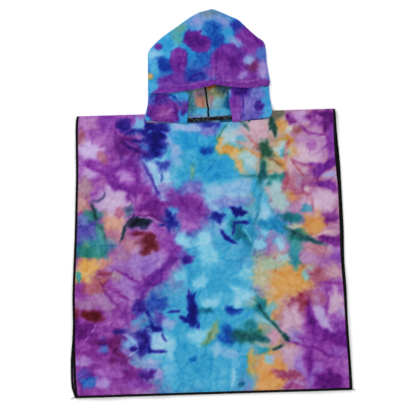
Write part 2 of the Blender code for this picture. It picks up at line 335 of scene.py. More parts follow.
def body_shape():
    """Middle surface of the body: places, faces, and for each place its distance from the sewn
    edge and whether it is on the front."""
    columns = round(BODY_WIDTH / BODY_STEP)
    shares = np.linspace(0.0, 1.0, columns + 1)
    turn = LAYER / 2
    turn_centre = BODY_LENGTH - turn - CLOTH / 2
    front_layer = FLOOR_LAYER + LAYER
    rows = []

    def add(left, right, y, z, front):
        x = mix(left, right, shares)
        y = np.broadcast_to(np.asarray(y(x) if callable(y) else y, float), x.shape)
        distance = np.minimum(np.minimum(x - left, right - x), y)
        lift = front_rise(x, y, distance) if front else 0.0
        rows.append(np.column_stack([x, y, z + lift + 0 * x, distance, front + 0 * x]))

    for y in np.linspace(0.0, turn_centre, round(turn_centre / BACK_STEP), endpoint=False):
        edge = edge_at(y)
        add(edge.back_left, edge.back_right, y, FLOOR_LAYER, 0.0)
    top = BODY_EDGES[-1]
    for step in range(FOLD_STEPS + 1):
        angle = math.pi * step / FOLD_STEPS
        y = turn_centre + turn * math.sin(angle)
        rise = turn * (1 - math.cos(angle))
        add(top.front_left, top.front_right, y, FLOOR_LAYER + rise, 0.0)
    for y in ROWS_ABOVE_SLIT:
        edge = edge_at(y)
        add(edge.front_left, edge.front_right, y, front_layer, 1.0)
    slit_row = len(rows)
    at_slit = edge_at(SLIT_BACK)
    add(at_slit.front_left, at_slit.front_right, SLIT_BACK, front_layer, 1.0)
    add(at_slit.front_left, at_slit.front_right, slit_front, front_layer, 1.0)
    below = SLIT_FRONT - SLIT_MARGIN
    for y in np.linspace(below, 0.0, round(below / BODY_STEP)):
        edge = edge_at(y)
        add(edge.front_left, edge.front_right, y, front_layer, 1.0)

    width = columns + 1
    across = at_slit.front_right - at_slit.front_left
    left_slit = round(columns * (SLIT_LEFT - at_slit.front_left) / across)
    right_slit = round(columns * (SLIT_RIGHT - at_slit.front_left) / across)
    faces = []
    for row in range(len(rows) - 1):
        for column in range(columns):
            if row == slit_row and left_slit <= column < right_slit:
                continue
            first = row * width + column
            faces.append((first + width, first + width + 1, first + 1, first))
    return np.concatenate(rows), np.array(faces)


def wall(places, faces, thickness):
    """Turns a middle surface into a closed wall. Gives the outer places and then the inner ones,
    and the faces: outer, inner, and the rim round every free edge."""
    count = len(places)
    corners = places[faces]
    flat = np.cross(corners[:, 2] - corners[:, 0], corners[:, 3] - corners[:, 1])
    normals = np.zeros((count, 3))
    for corner in range(4):
        np.add.at(normals, faces[:, corner], flat)
    length = np.linalg.norm(normals, axis=1, keepdims=True)
    normals /= np.maximum(length, 1e-9)
    outer = places + normals * thickness / 2
    inner = places - normals * thickness / 2
    edges = np.concatenate([faces[:, [corner, (corner + 1) % 4]] for corner in range(4)])
    known = {(int(a), int(b)) for a, b in edges}
    free = [(a, b) for a, b in known if (b, a) not in known]
    rim = np.array([(b, a, a + count, b + count) for a, b in sorted(free)])
    return np.concatenate([outer, inner]), np.concatenate([faces, faces[:, ::-1] + count, rim])


# A pool is where one mix of dyes soaked in: its middle, half width, half height, turn, and how
# much of each dye it holds. Each is laid over those before it, so the broad ones come first.
# feather is how softly it fades, from 0.2 for a clear rim to 1 for a cloud. The pools and veins
# of the body lie in the millimetres of its own cut.
Pool = namedtuple("Pool", "x y wide high turn cyan purple orange feather", defaults=[0.66])
BODY_POOLS = [
    # the broad fields
    Pool(-205, 485, 115, 167, 0, .05, .75, .05), Pool(-25, 500, 92, 155, 0, .75, .03, .03),
    Pool(60, 455, 92, 175, 0, .7, .03, .03), Pool(240, 470, 83, 175, 0, .05, .4, .25),
    Pool(145, 520, 57, 92, -15, .1, .15, .4), Pool(-245, 165, 100, 175, 0, .05, .9, .05),
    Pool(-47, 115, 105, 175, 0, .85, .02, .02), Pool(35, 155, 92, 175, 0, .85, .02, .02),
    Pool(168, 195, 72, 92, 0, .05, .1, .7), Pool(255, 105, 72, 136, 0, .05, .85, .03),
    Pool(130, 53, 37, 70, 0, .02, .1, .85),
    # left, from the shoulder down
    Pool(-190, 588, 66, 20, 0, .1, 1.0, 0), Pool(-250, 590, 20, 18, 0, .05, .45, .1),
    Pool(-170, 585, 13, 13, 0, .9, 1.5, 0), Pool(-137, 585, 13, 16, 0, .5, .1, 0),
    Pool(-205, 550, 33, 20, 0, .05, .6, .05), Pool(-158, 535, 44, 26, -15, .15, 1.3, .1),
    Pool(-265, 558, 11, 15, 0, .1, .7, .6), Pool(-245, 531, 31, 22, -10, .05, .2, 0),
    Pool(-258, 510, 15, 9, 0, .1, .3, .05), Pool(-223, 497, 42, 9, -20, .05, 1.0, 0),
    Pool(-248, 482, 27, 14, 0, .05, .22, .02), Pool(-216, 516, 20, 7, -50, .05, .5, .35),
    Pool(-262, 450, 20, 22, 0, .1, .3, .3), Pool(-172, 462, 53, 42, 0, .05, 1.0, 0),
    Pool(-174, 475, 18, 14, -20, .05, .4, 0), Pool(-130, 465, 18, 24, 30, .1, .6, 0),
    Pool(-122, 430, 44, 24, -25, .05, 1.1, .03), Pool(-147, 417, 13, 17, 0, .05, .55, .05),
    Pool(-195, 421, 33, 33, 0, .12, .35, .05), Pool(-220, 463, 13, 13, 0, .05, .6, .1),
    Pool(-198, 372, 30, 38, -15, .02, .18, .5), Pool(-192, 420, 35, 30, 0, .05, .2, .06),
    Pool(-183, 393, 13, 11, 0, .03, .5, .35),
    Pool(-206, 349, 20, 13, 30, .05, .5, .4), Pool(-263, 410, 18, 20, 0, .05, .25, .4),
    Pool(-249, 386, 29, 11, 20, .9, .1, .5), Pool(-232, 347, 13, 40, 10, .95, .1, .5),
    Pool(-260, 355, 20, 29, 0, .5, .75, .05), Pool(-262, 380, 11, 11, 0, .35, .3, .05),
    Pool(-244, 317, 42, 22, 0, 1.0, .1, .35), Pool(-105, 403, 40, 24, -10, .1, 1.4, .1),
    Pool(-164, 396, 11, 13, 0, .5, .4, .3), Pool(-133, 369, 19, 9, -10, 1.7, 1.3, 1.1),
    Pool(-105, 357, 29, 13, -10, .05, .65, .03), Pool(-128, 322, 20, 29, 10, .2, 1.3, 1.3),
    Pool(-167, 319, 29, 26, 0, .05, .4, .35), Pool(-87, 310, 24, 40, -10, .05, .8, 0),
    # the middle, below the neck
    Pool(-99, 550, 26, 33, -25, 1.2, 1.7, 0), Pool(-116, 579, 15, 13, -40, 1.2, 1.7, 0),
    Pool(-126, 535, 13, 11, 0, .7, .5, 0), Pool(-113, 513, 22, 8, 20, 1.2, 1.5, 0),
    Pool(-63, 542, 20, 48, 0, .28, .12, 0), Pool(-93, 468, 33, 48, 20, .25, .05, 0),
    Pool(-88, 491, 12, 10, 20, .9, .9, 0, 1), Pool(-14, 536, 48, 26, -25, 1.0, .02, 0),
    Pool(6, 525, 20, 7, 0, 1.7, .25, 0), Pool(-30, 574, 29, 9, 0, .25, .15, 0),
    Pool(5, 585, 26, 13, 0, .8, .9, 0), Pool(13, 564, 20, 11, 0, .35, .4, 0),
    Pool(-20, 482, 57, 29, 10, .95, .02, .04), Pool(-29, 475, 6, 20, -10, .6, .03, .45),
    Pool(-85, 428, 14, 11, 0, .25, 0, 0), Pool(-35, 401, 42, 46, 0, .1, .85, .03),
    Pool(-35, 414, 29, 11, -10, .1, 1.2, .05), Pool(-34, 445, 20, 9, 20, .3, .4, 0),
    Pool(-38, 364, 20, 15, 0, .05, .55, 0), Pool(-69, 391, 8, 13, -20, .6, .15, 0),
    Pool(-76, 369, 15, 13, 0, 1.1, 1.3, 0), Pool(-53, 331, 20, 18, 0, .35, 0, 0),
    Pool(-4, 330, 18, 22, 20, .3, 0, 0), Pool(13, 423, 20, 33, 0, .3, .03, 0),
    Pool(22, 380, 10, 15, 30, 1.2, 1.2, 0), Pool(31, 478, 37, 22, 15, 1.05, .02, 0),
    Pool(71, 440, 55, 20, 10, .32, .08, 0), Pool(117, 418, 13, 50, 20, .9, .02, .03),
    Pool(49, 409, 35, 13, 0, .35, .3, 0), Pool(126, 397, 11, 20, 20, .4, .03, 0),
    Pool(27, 360, 13, 20, 0, .45, .1, 0), Pool(71, 347, 12, 26, 35, 1.6, .1, .35),
    Pool(88, 338, 15, 29, -10, 1.2, .05, .1), Pool(116, 317, 13, 11, 30, .35, .02, 0),
    Pool(156, 320, 10, 12, 0, .35, .02, 0), Pool(127, 346, 11, 12, 0, .4, .02, 0),
    Pool(66, 391, 13, 7, -15, 1.2, 1.6, 0),
    Pool(122, 386, 17, 14, 0, .3, .03, 0),
    # right of the neck, and down the right side
    Pool(56, 521, 29, 11, -10, .05, .05, 1.0), Pool(41, 537, 11, 20, -15, .05, .05, .75),
    Pool(59, 552, 16, 21, 0, .18, .03, .08), Pool(115, 563, 35, 28, -20, .03, .2, .2),
    Pool(105, 528, 24, 6, -25, .02, .28, .45), Pool(71, 501, 9, 20, 0, .02, .02, .7),
    Pool(93, 503, 23, 21, 0, .2, .02, .1), Pool(166, 596, 16, 12, 0, .4, .3, .8),
    Pool(170, 566, 12, 14, 0, .05, .1, .9), Pool(185, 559, 9, 14, -20, .1, .05, .3),
    Pool(150, 571, 7, 24, 10, 1.1, .35, 1.0), Pool(192, 585, 11, 10, 0, .1, 1.4, .15),
    Pool(212, 589, 17, 15, 0, .05, .35, .05), Pool(257, 583, 28, 24, 0, .1, 1.7, .1),
    Pool(250, 584, 15, 5, -25, .05, .8, .1), Pool(202, 554, 13, 13, 0, .1, .6, .7),
    Pool(182, 539, 13, 9, 0, .05, .1, 1.2), Pool(234, 529, 39, 37, 0, .05, .35, .1),
    Pool(213, 515, 25, 23, 0, .03, .18, .13),
    Pool(231, 531, 9, 9, 0, .05, .7, .1), Pool(274, 532, 13, 41, 0, .1, .95, 0),
    Pool(168, 518, 24, 24, 0, .05, .1, .9), Pool(168, 520, 16, 16, 0, .2, .03, .12),
    Pool(171, 515, 8, 9, 0, .75, 0, .1), Pool(130, 523, 12, 22, 30, 1.0, .25, 1.0),
    Pool(140, 489, 19, 16, -10, .15, .05, .45), Pool(163, 488, 9, 13, 40, .05, .15, 1.1),
    Pool(120, 467, 9, 20, -10, 1.2, .15, .5), Pool(149, 457, 22, 10, 15, 1.1, .05, .5),
    Pool(155, 437, 17, 17, 0, .3, .02, .1), Pool(187, 473, 15, 13, 0, .02, .4, .8),
    Pool(197, 472, 22, 22, 20, .03, .2, .16), Pool(199, 451, 26, 17, 0, .1, .4, .25),
    Pool(179, 445, 13, 20, 10, .05, .55, .5), Pool(227, 435, 26, 26, 0, .05, .7, .3),
    Pool(217, 431, 9, 17, -20, .03, .15, .15), Pool(259, 484, 33, 10, 20, .1, 1.3, 0),
    Pool(272, 466, 14, 9, 0, .15, .2, 0), Pool(265, 440, 26, 11, -10, .1, 1.3, 0),
    Pool(185, 418, 20, 10, -15, .02, .2, .85), Pool(250, 407, 33, 24, 0, .03, .2, .1),
    Pool(163, 406, 20, 26, 20, .2, .03, .15), Pool(184, 372, 26, 10, -10, 1.4, .1, .5),
    Pool(217, 389, 13, 7, -20, .9, .1, .2), Pool(144, 358, 29, 10, -10, 1.2, .06, .08),
    Pool(196, 333, 22, 13, -20, 1.3, .1, .65), Pool(190, 353, 21, 6, -5, .15, .05, .35),
    Pool(234, 353, 24, 22, 0, .03, .1, .95), Pool(269, 372, 15, 13, -20, .08, 1.1, .15),
    Pool(268, 324, 26, 10, -15, .1, 1.5, .1), Pool(270, 337, 13, 6, 10, .05, .3, .2),
    Pool(189, 309, 12, 17, 15, 1.0, .05, .4), Pool(238, 303, 26, 15, 0, .03, .35, .35),
    Pool(280, 289, 11, 20, 0, .1, .8, 0),
    # lower left
    Pool(-257, 271, 34, 40, 0, .03, .05, .9), Pool(-214, 292, 25, 13, -10, .02, .25, .6),
    Pool(-251, 311, 29, 11, 0, 1.0, .05, .5),
    Pool(-225, 306, 13, 11, 0, 1.0, .05, .5), Pool(-280, 259, 5, 12, 0, .9, .05, .4),
    Pool(-227, 250, 12, 24, -40, .05, .5, .75), Pool(-165, 271, 53, 44, 0, .1, .5, .05),
    Pool(-124, 286, 31, 26, 0, .12, .45, 0), Pool(-175, 302, 20, 13, 0, .1, .45, .2),
    Pool(-196, 254, 15, 12, 30, .15, .25, .5), Pool(-221, 265, 10, 8, -40, .05, .85, .6),
    Pool(-166, 231, 24, 37, 40, .1, .45, .02),
    Pool(-108, 256, 13, 33, -55, .1, 1.1, 0), Pool(-72, 299, 13, 22, -20, .1, 1.1, 0),
    Pool(-248, 177, 22, 11, -20, .15, 1.5, 1.3), Pool(-285, 185, 9, 13, 0, .1, 1.2, .9),
    Pool(-221, 207, 33, 20, -30, .1, .45, .15), Pool(-267, 206, 22, 13, 0, .1, .5, .2),
    Pool(-247, 232, 26, 9, 0, .05, .6, .6), Pool(-268, 144, 29, 22, 0, .1, 1.5, .1),
    Pool(-196, 105, 20, 33, 10, .1, 1.5, .3), Pool(-228, 108, 9, 17, 0, .6, .4, 0),
    Pool(-273, 81, 20, 11, 0, .08, .4, .02), Pool(-268, 30, 15, 11, 0, .8, .3, 0),
    Pool(-274, 52, 17, 11, 0, .4, .9, 0), Pool(-226, 51, 26, 15, 0, .05, .6, 0),
    Pool(-231, 27, 17, 11, 0, .1, .35, 0), Pool(-171, 38, 20, 17, 0, .05, 1.4, .1),
    Pool(-147, 117, 24, 24, 20, .8, 1.6, 0), Pool(-172, 110, 18, 18, -35, .45, .2, 0),
    Pool(-178, 96, 9, 9, 0, .2, .5, 0), Pool(-114, 140, 13, 9, -20, 1.4, 1.7, 0, .5),
    Pool(-159, 172, 13, 11, 0, .55, .15, 0),
    Pool(-176, 174, 13, 13, 0, .1, 1.0, .05), Pool(-149, 193, 15, 18, -40, .5, 1.3, 0),
    Pool(-109, 199, 22, 20, 0, .9, .55, 0), Pool(-106, 164, 13, 20, 30, .4, .7, 0),
    Pool(-89, 154, 15, 13, 0, .3, .15, 0), Pool(-108, 111, 24, 24, 0, .3, .05, 0),
    Pool(-136, 48, 20, 11, 15, .3, 1.4, 0), Pool(-127, 70, 18, 13, 0, .3, .2, 0),
    Pool(-110, 49, 11, 11, 0, .2, .3, 0), Pool(-150, 22, 35, 11, -10, .1, .9, 0),
    # lower middle
    Pool(-55, 254, 18, 13, 0, .4, 0, 0), Pool(-18, 238, 18, 11, 30, .4, 0, 0),
    Pool(5, 297, 20, 20, 0, .35, 0, 0), Pool(-50, 294, 15, 11, -30, .3, .7, 0),
    Pool(-40, 285, 11, 9, 0, .4, 1.1, 0), Pool(-7, 181, 20, 8, 5, 1.5, .1, .3),
    Pool(2, 193, 20, 11, 0, .4, 0, 0), Pool(-35, 180, 8, 27, 0, 1.2, 1.3, 0),
    Pool(-40, 210, 7, 14, 20, .9, .6, 0),
    Pool(-25, 144, 5, 12, -15, 1.0, .7, 0),
    Pool(-26, 124, 20, 18, 0, .35, 0, 0), Pool(-89, 101, 13, 29, 0, .35, .02, 0),
    Pool(5, 127, 8, 24, -28, .35, .03, .65), Pool(-34, 78, 9, 6, 20, 1.7, .1, 0),
    Pool(-88, 53, 13, 26, 10, .6, .03, 0), Pool(82, 255, 13, 20, 0, .45, 0, .03),
    Pool(70, 211, 20, 22, 0, .35, 0, 0), Pool(111, 167, 26, 13, -30, .35, .03, .1),
    Pool(110, 184, 13, 22, 35, 1.2, .05, .3), Pool(129, 184, 13, 11, 0, .4, .03, .15),
    Pool(42, 122, 24, 18, -15, 1.5, .35, 0), Pool(84, 123, 37, 13, -8, 1.4, .15, .75),
    Pool(47, 177, 15, 8, -20, 1.7, .6, 0), Pool(85, 147, 15, 12, 0, 1.4, .05, .4),
    Pool(17, 94, 15, 15, -20, .35, .05, 0), Pool(48, 85, 20, 11, 0, .4, .08, 0),
    Pool(46, 38, 5, 20, 0, .4, .02, 0), Pool(56, 65, 9, 9, 0, .5, .03, 0),
    Pool(64, 20, 6, 6, 0, 1.3, .2, .3), Pool(87, 71, 10, 24, 0, .1, .05, .85),
    Pool(111, 96, 15, 9, 0, 1.0, .03, .15), Pool(114, 109, 13, 7, -30, .2, .1, .3),
    Pool(129, 74, 13, 12, 0, .3, .02, .05),
    # lower right
    Pool(180, 239, 48, 33, 0, .03, .08, 1.05), Pool(114, 252, 18, 24, 0, .15, .05, .5),
    Pool(137, 278, 20, 13, 0, .2, .03, .35), Pool(188, 291, 13, 20, 10, .9, .05, .25),
    Pool(164, 292, 11, 9, 0, .25, .03, .15), Pool(215, 255, 14, 13, 0, .25, .02, .15),
    Pool(239, 250, 13, 20, 20, .05, .55, .5), Pool(268, 256, 22, 15, 0, .05, .3, .3),
    Pool(263, 230, 29, 6, 5, .05, 1.0, .1), Pool(273, 189, 20, 26, 25, .04, .2, .12),
    Pool(285, 166, 12, 9, 0, .1, .3, .05), Pool(207, 192, 24, 18, -30, .03, .9, .7),
    Pool(236, 200, 13, 11, 0, .05, .7, .4), Pool(178, 148, 24, 33, 25, .03, .2, .14),
    Pool(190, 122, 18, 18, 0, .15, .3, .05), Pool(137, 122, 15, 14, 0, .02, .25, .2),
    Pool(163, 122, 5, 10, 40, 1.2, .4, .9, .5),
    Pool(219, 161, 11, 31, 20, .05, 1.3, 0), Pool(242, 151, 15, 42, 30, .08, .22, .02),
    Pool(280, 130, 13, 31, 20, .08, .8, .02), Pool(237, 105, 44, 15, -20, .05, 1.0, 0),
    Pool(287, 99, 13, 26, 0, .08, 1.4, 0), Pool(172, 72, 29, 28, 0, .04, .22, .14),
    Pool(190, 57, 13, 20, 0, .12, .45, 0), Pool(214, 73, 13, 33, 15, .05, .9, 0),
    Pool(241, 79, 29, 13, -20, .03, .75, .03), Pool(272, 80, 13, 13, 0, .08, .7, 0),
    Pool(130, 34, 29, 29, 0, .02, .1, 1.0), Pool(167, 35, 26, 10, -20, .03, .8, .5),
    Pool(177, 9, 20, 9, 0, .03, .9, .3), Pool(221, 33, 13, 24, -30, .12, .6, 0),
    Pool(252, 21, 26, 18, -20, .05, 1.8, 0), Pool(288, 38, 13, 24, 0, .05, .8, .03),
]


# A vein is a crease in the bundle where dye gathered, or was kept out: its two ends, how far it
# bows to its left, its half width, and the dyes in it.
Vein = namedtuple("Vein", "x1 y1 x2 y2 bow wide cyan purple orange")
BODY_VEINS = [
    # left
    Vein(-190, 588, -155, 593, 0, 6, .7, 1.8, 0), Vein(-261, 504, -207, 476, 2, 5, .05, 1.3, 0),
    Vein(-207, 476, -144, 505, 4, 6, .1, 1.2, 0), Vein(-207, 463, -146, 444, -3, 6, .1, 1.4, 0),
    Vein(-144, 501, -150, 448, 0, 4, .1, 1.3, 0), Vein(-129, 500, -94, 425, -3, 3, .5, 1.1, 0),
    Vein(-159, 451, -173, 418, 0, 5, .1, 1.1, .05), Vein(-143, 400, -94, 416, 3, 9, .1, 1.6, .05),
    Vein(-241, 416, -238, 376, 0, 2.6, 1.1, .5, 1.0), Vein(-212, 437, -240, 416, 2, 2.4, .6, .7, .5),
    Vein(-238, 376, -215, 330, 4, 3.4, .9, .3, .7), Vein(-152, 385, -185, 335, -2, 2.6, 1.3, .8, 1.2),
    Vein(-164, 363, -117, 372, 3, 6, 1.6, 1.3, 1.5), Vein(-150, 385, -78, 362, 9, 2.2, .1, 1.7, .2),
    Vein(-160, 351, -110, 361, 0, 1.6, .1, .5, .05), Vein(-162, 350, -114, 344, 1, 2.8, .1, 1.5, 1.0),
    Vein(-130, 342, -137, 303, 0, 8, .2, 1.3, 1.2), Vein(-82, 398, -74, 358, 3, 4, 1.2, 1.4, 0),
    # where the neck was tied
    Vein(-128, 595, -79, 569, -3, 5, 1.3, 1.8, 0), Vein(-167, 565, -112, 566, 4, 4, 1.2, 1.5, 0),
    Vein(-156, 551, -121, 551, -3, 2.8, 1.2, 1.6, 0), Vein(-170, 543, -113, 516, -5, 3, .5, 2.0, 0),
    Vein(-168, 549, -140, 533, -3, 1.4, .2, .7, 0), Vein(-118, 569, -108, 574, 0, 2.2, .9, .1, 0),
    Vein(-88, 480, -92, 458, 0, 2, .9, .7, 0), Vein(-50, 570, -3, 523, -3, 9, 1.1, .02, 0),
    Vein(-10, 523, 19, 525, 0, 5, 1.9, .3, 0), Vein(-39, 504, -24, 484, 0, 1.8, 1.5, .1, 0),
    Vein(23, 502, 5, 485, 2, 1.8, 1.5, .1, 0), Vein(19, 393, 27, 362, 0, 4, 1.4, 1.3, 0),
    # right
    Vein(80, 564, 126, 511, 3, 2.4, .03, .4, .55), Vein(79, 582, 98, 561, 2, 3, 1.0, .3, .9),
    Vein(220, 491, 282, 493, -4, 4, .1, 1.4, 0), Vein(168, 352, 260, 311, -6, 3.2, 1.2, .4, .8),
    Vein(60, 366, 57, 340, 0, 1.8, 1.2, 1.5, 0), Vein(56, 367, 86, 369, 0, 3, 1.2, 1.6, 0),
    Vein(120, 470, 88, 338, 10, 3, .9, .1, .2), Vein(182, 500, 210, 462, 4, 2.4, .03, .6, .7),
    Vein(206, 570, 262, 552, -5, 3, .05, 1.1, .1), Vein(262, 552, 268, 505, 3, 3.4, .05, 1.1, .05),
    # lower left
    Vein(-200, 273, -136, 241, 0, 3, .05, 1.2, .05), Vein(-231, 243, -167, 209, 0, 3, .05, 1.2, .1),
    Vein(-227, 233, -189, 191, 0, 3, .1, 1.2, .1), Vein(-64, 290, -148, 198, -14, 5, .2, 1.3, 0),
    Vein(-256, 119, -200, 118, -3, 6, .05, 1.9, .2), Vein(-215, 145, -165, 122, 2, 1.5, .1, .35, 0),
    Vein(-240, 150, -205, 160, 3, 1.3, .05, .5, 0), Vein(-42, 214, -29, 156, 2, 6, 1.4, 1.6, 0),
    Vein(-141, 103, -97, 93, -2, 2.6, 1.2, 1.6, 0), Vein(-64, 172, -36, 158, -2, 3.4, 1.3, 1.5, 0),
    Vein(-250, 90, -185, 78, 4, 3.4, .05, 1.2, .05), Vein(-185, 78, -160, 40, 3, 4, .05, 1.3, .1),
    # lower right
    Vein(99, 197, 170, 115, -3, 2.4, 1.2, .3, .9), Vein(52, 125, 127, 117, 0, 5, 1.6, .3, .8),
    Vein(172, 111, 274, 69, 0, 3, .05, 1.4, 0), Vein(216, 155, 290, 103, -6, 5, .1, 1.5, 0),
    Vein(192, 214, 211, 183, 0, 4, .03, 1.1, .9), Vein(11, 142, -9, 106, 0, 3, .6, .1, .7),
    Vein(136, 93, 160, 101, 0, 3, 1.1, .4, .9), Vein(205, 100, 214, 40, 3, 7, .05, 1.5, 0),
    Vein(232, 232, 292, 226, 2, 2.4, .05, 1.2, .1), Vein(208, 168, 242, 118, -3, 8, .05, 1.7, 0),
    Vein(242, 118, 286, 97, -2, 6, .05, 1.6, 0),
    # the finer ones: rims of the pale cells, branches of the dark stars, and light crease lines
    Vein(-148, 380, -83, 365, 6, 1.8, .05, .5, .02), Vein(84, 584, 104, 582, 0, 2, .9, .2, .8),
    Vein(78, 527, 131, 506, 0, 4, .02, .15, .75), Vein(63, 512, 86, 472, -5, 4, .05, .08, .6),
    Vein(52, 580, 33, 544, -2, 2, .8, .1, .5), Vein(72, 466, 112, 460, 3, 2, .9, .1, .4),
    Vein(131, 502, 114, 454, 0, 5, 1.2, .2, .6), Vein(142, 503, 165, 482, 0, 3, .3, .35, 1.2),
    Vein(184, 541, 172, 492, -4, 4, .02, .45, .6), Vein(169, 476, 179, 438, -4, 5, .02, .7, .6),
    Vein(179, 438, 227, 418, -3, 5, .02, .65, .5), Vein(226, 418, 232, 378, -2, 3, .02, .55, .5),
    Vein(183, 498, 237, 479, 4, 3.4, .02, .75, .35), Vein(30, 352, 62, 326, -2, 3.2, 1.2, 1.6, 0),
    Vein(61, 361, 94, 314, 3, 7, 1.5, .1, .35), Vein(76, 358, 94, 322, 2, 1.8, .3, .03, 0),
    Vein(224, 325, 270, 340, 2, 3, .02, .12, .2), Vein(241, 584, 249, 594, 0, 1.6, .05, .5, .2),
    Vein(246, 592, 264, 581, -1, 1.4, .05, .55, .1), Vein(-104, 133, -94, 117, 0, 1.8, 1.2, 1.5, 0),
    Vein(-138, 184, -122, 146, -3, 3, 1.1, 1.3, 0), Vein(-136, 166, -122, 150, 0, 1.3, .5, .1, 0),
    Vein(-178, 131, -152, 104, 0, 1.5, .3, .05, 0), Vein(-172, 100, -154, 104, 0, 4, .6, 1.5, 0),
    Vein(-152, 104, -180, 86, 0, 1.5, .3, .05, 0), Vein(-208, 136, -178, 139, 2, 5, .7, 1.5, 0),
    Vein(-242, 161, -250, 140, 0, 1.3, .08, .5, 0),
    Vein(-270, 124, -255, 133, 0, 1.3, .08, .5, 0), Vein(-86, 181, -62, 184, 0, 2.2, 1.2, 1.5, 0),
    Vein(-48, 224, -42, 208, 0, 1.7, 1, 1.3, 0), Vein(-30, 222, -38, 206, 0, 1.7, 1, 1.3, 0),
]


def cells(x, y, size, seed):
    """Scrunched-up cloth as cells about size across: how much farther the next cell's middle is
    than the nearest one's, and a number of its own for each cell."""
    jitter = np.random.RandomState(seed).uniform(0.1, 0.9, (LATTICE, LATTICE, 3))
    u, v = x / size + LATTICE_START, y / size + LATTICE_START
    column, row = np.floor(u).astype(int), np.floor(v).astype(int)
    nearest = np.full(x.shape, np.inf)
    second = np.full(x.shape, np.inf)
    own = np.zeros(x.shape)
    for down in (-1, 0, 1):
        for over in (-1, 0, 1):
            spot = jitter[(row + down) % LATTICE, (column + over) % LATTICE]
            away = np.hypot(column + over + spot[..., 0] - u, row + down + spot[..., 1] - v)
            closer = away < nearest
            second = np.where(closer, nearest, np.minimum(second, away))
            own = np.where(closer, spot[..., 2], own)
            nearest = np.where(closer, away, nearest)
    return (second - nearest) * size, own


DYE_STRENGTH = 1.62
FRAY = ((4.5, 42.0), (3.0, 15.0), (1.2, 6.5))   # how far the dye wanders, in swells of what size
FINGER_RING = 13.0              # with FINGER_SIZE, sets how many points a pool's rim runs out in
FINGER_SIZE = 5.0
FINGER_REACH = 0.36
FEATHER_REACH = 0.72
CELL_SIZE = 36.0
CELL_RIM = 4.5


def frayed(x, y, seed):
    """How far the dye has wandered, one way, at each place."""
    (broad, broad_size), (middling, middling_size), (fine, fine_size) = FRAY
    return (broad * ripple(x, y, broad_size, seed) + middling * ripple(x, y, middling_size, seed + 1)
            + fine * ripple(x, y, fine_size, seed + 2))


def pool_share(u, v, pool, ragged, fingering, seed):
    """How much of a pool's own dye there is at each place: 1 inside, 0 outside."""
    along, across = along_and_across(u, v, pool)
    away = np.hypot(along, across) + 0.001
    ring_x = FINGER_RING * along / away + 7.0 * pool.x
    ring_y = FINGER_RING * across / away + 7.0 * pool.y
    fingers = ripple(ring_x, ring_y, FINGER_SIZE, seed)
    reach = np.hypot(along / pool.wide, across / pool.high)
    reach = reach * (1.0 + fingering * FINGER_REACH * fingers) + ragged * (0.4 + 0.6 * fingering)
    fade = FEATHER_REACH * pool.feather
    return 1.0 - ease(reach, 1.0 - fade, 1.0 + fade)


def vein_share(u, v, vein):
    """How much of a vein's own dye there is at each place. It thins towards both ends."""
    length = math.hypot(vein.x2 - vein.x1, vein.y2 - vein.y1)
    way_x, way_y = (vein.x2 - vein.x1) / length, (vein.y2 - vein.y1) / length
    along = (u - vein.x1) * way_x + (v - vein.y1) * way_y
    across = (v - vein.y1) * way_x - (u - vein.x1) * way_y
    across = across - vein.bow * np.sin(math.pi * np.clip(along / length, 0.0, 1.0))
    starting = ease(along, -0.15 * length, 0.2 * length)
    ending = ease(along, 0.8 * length, 1.15 * length)
    taper = starting * (1.0 - ending)
    return 0.9 * taper * np.exp(-(across / (vein.wide * (0.35 + 0.75 * taper))) ** 2)


def dyed(x, y, pools, veins, ground, seed, fingering=1.0, crumple=0.6):
    """How much cyan, purple and orange dye the cloth holds at each place. fingering is how far
    the pools' rims run out into points, crumple how much the creases show in the dye."""
    u, v = x + frayed(x, y, seed), y + frayed(x, y, seed + 3)
    ragged = 0.13 * ripple(x, y, 9.0, seed + 6) + 0.09 * ripple(x, y, 4.5, seed + 7)
    dye = np.tile(np.array(ground, float), (len(x), 1))
    for pool in pools:
        share = pool_share(u, v, pool, ragged, fingering, seed + 11)
        dye += (np.array([pool.cyan, pool.purple, pool.orange]) - dye) * share[:, None]
    for vein in veins:
        share = vein_share(u, v, vein)
        dye += (np.array([vein.cyan, vein.purple, vein.orange]) - dye) * share[:, None]
    margin, own = cells(u, v, CELL_SIZE, seed + 8)
    rim = np.exp(-(margin / CELL_RIM) ** 2)
    marbling = ripple(u + 10.0 * ripple(u, v, 21.0, seed + 12), v, 13.0, seed + 13)
    streak = (1.0 - np.abs(marbling)) ** 5
    strength = 0.86 + crumple * (0.34 * (own - 0.5) + 0.30 * rim + 0.26 * streak - 0.16)
    uneven = 1.0 - 0.16 * ripple(x, y, 5.0, seed + 10) + 0.16 * ripple(x, y, 26.0, seed + 14)
    return dye * (DYE_STRENGTH * (strength * uneven))[:, None]


def in_frame(points):
    """Places in the garment's millimetres as metres in the frame."""
    return (np.asarray(points) - np.array([MIDDLE_X, MIDDLE_Y, 0.0])) * METRES


def cloth_object(name, points, faces, dye, edge_distance, finish):
    """The finished piece: its mesh in metres, with the dye and the distance from the sewn edge."""
    mesh = bpy.data.meshes.new(name)
    mesh.from_pydata(in_frame(points).tolist(), [], faces.tolist())
    mesh.update()
    dye_data = mesh.attributes.new("dye", "FLOAT_VECTOR", "POINT").data
    dye_data.foreach_set("vector", dye.astype(np.float32).ravel())
    edge_data = mesh.attributes.new("edge", "FLOAT", "POINT").data
    edge_data.foreach_set("value", edge_distance.astype(np.float32))
    mesh.materials.append(finish)
    mesh.shade_smooth()
    mesh.set_sharp_from_angle(angle=math.radians(50))
    made = bpy.data.objects.new(name, mesh)
    collection.objects.link(made)
    return made


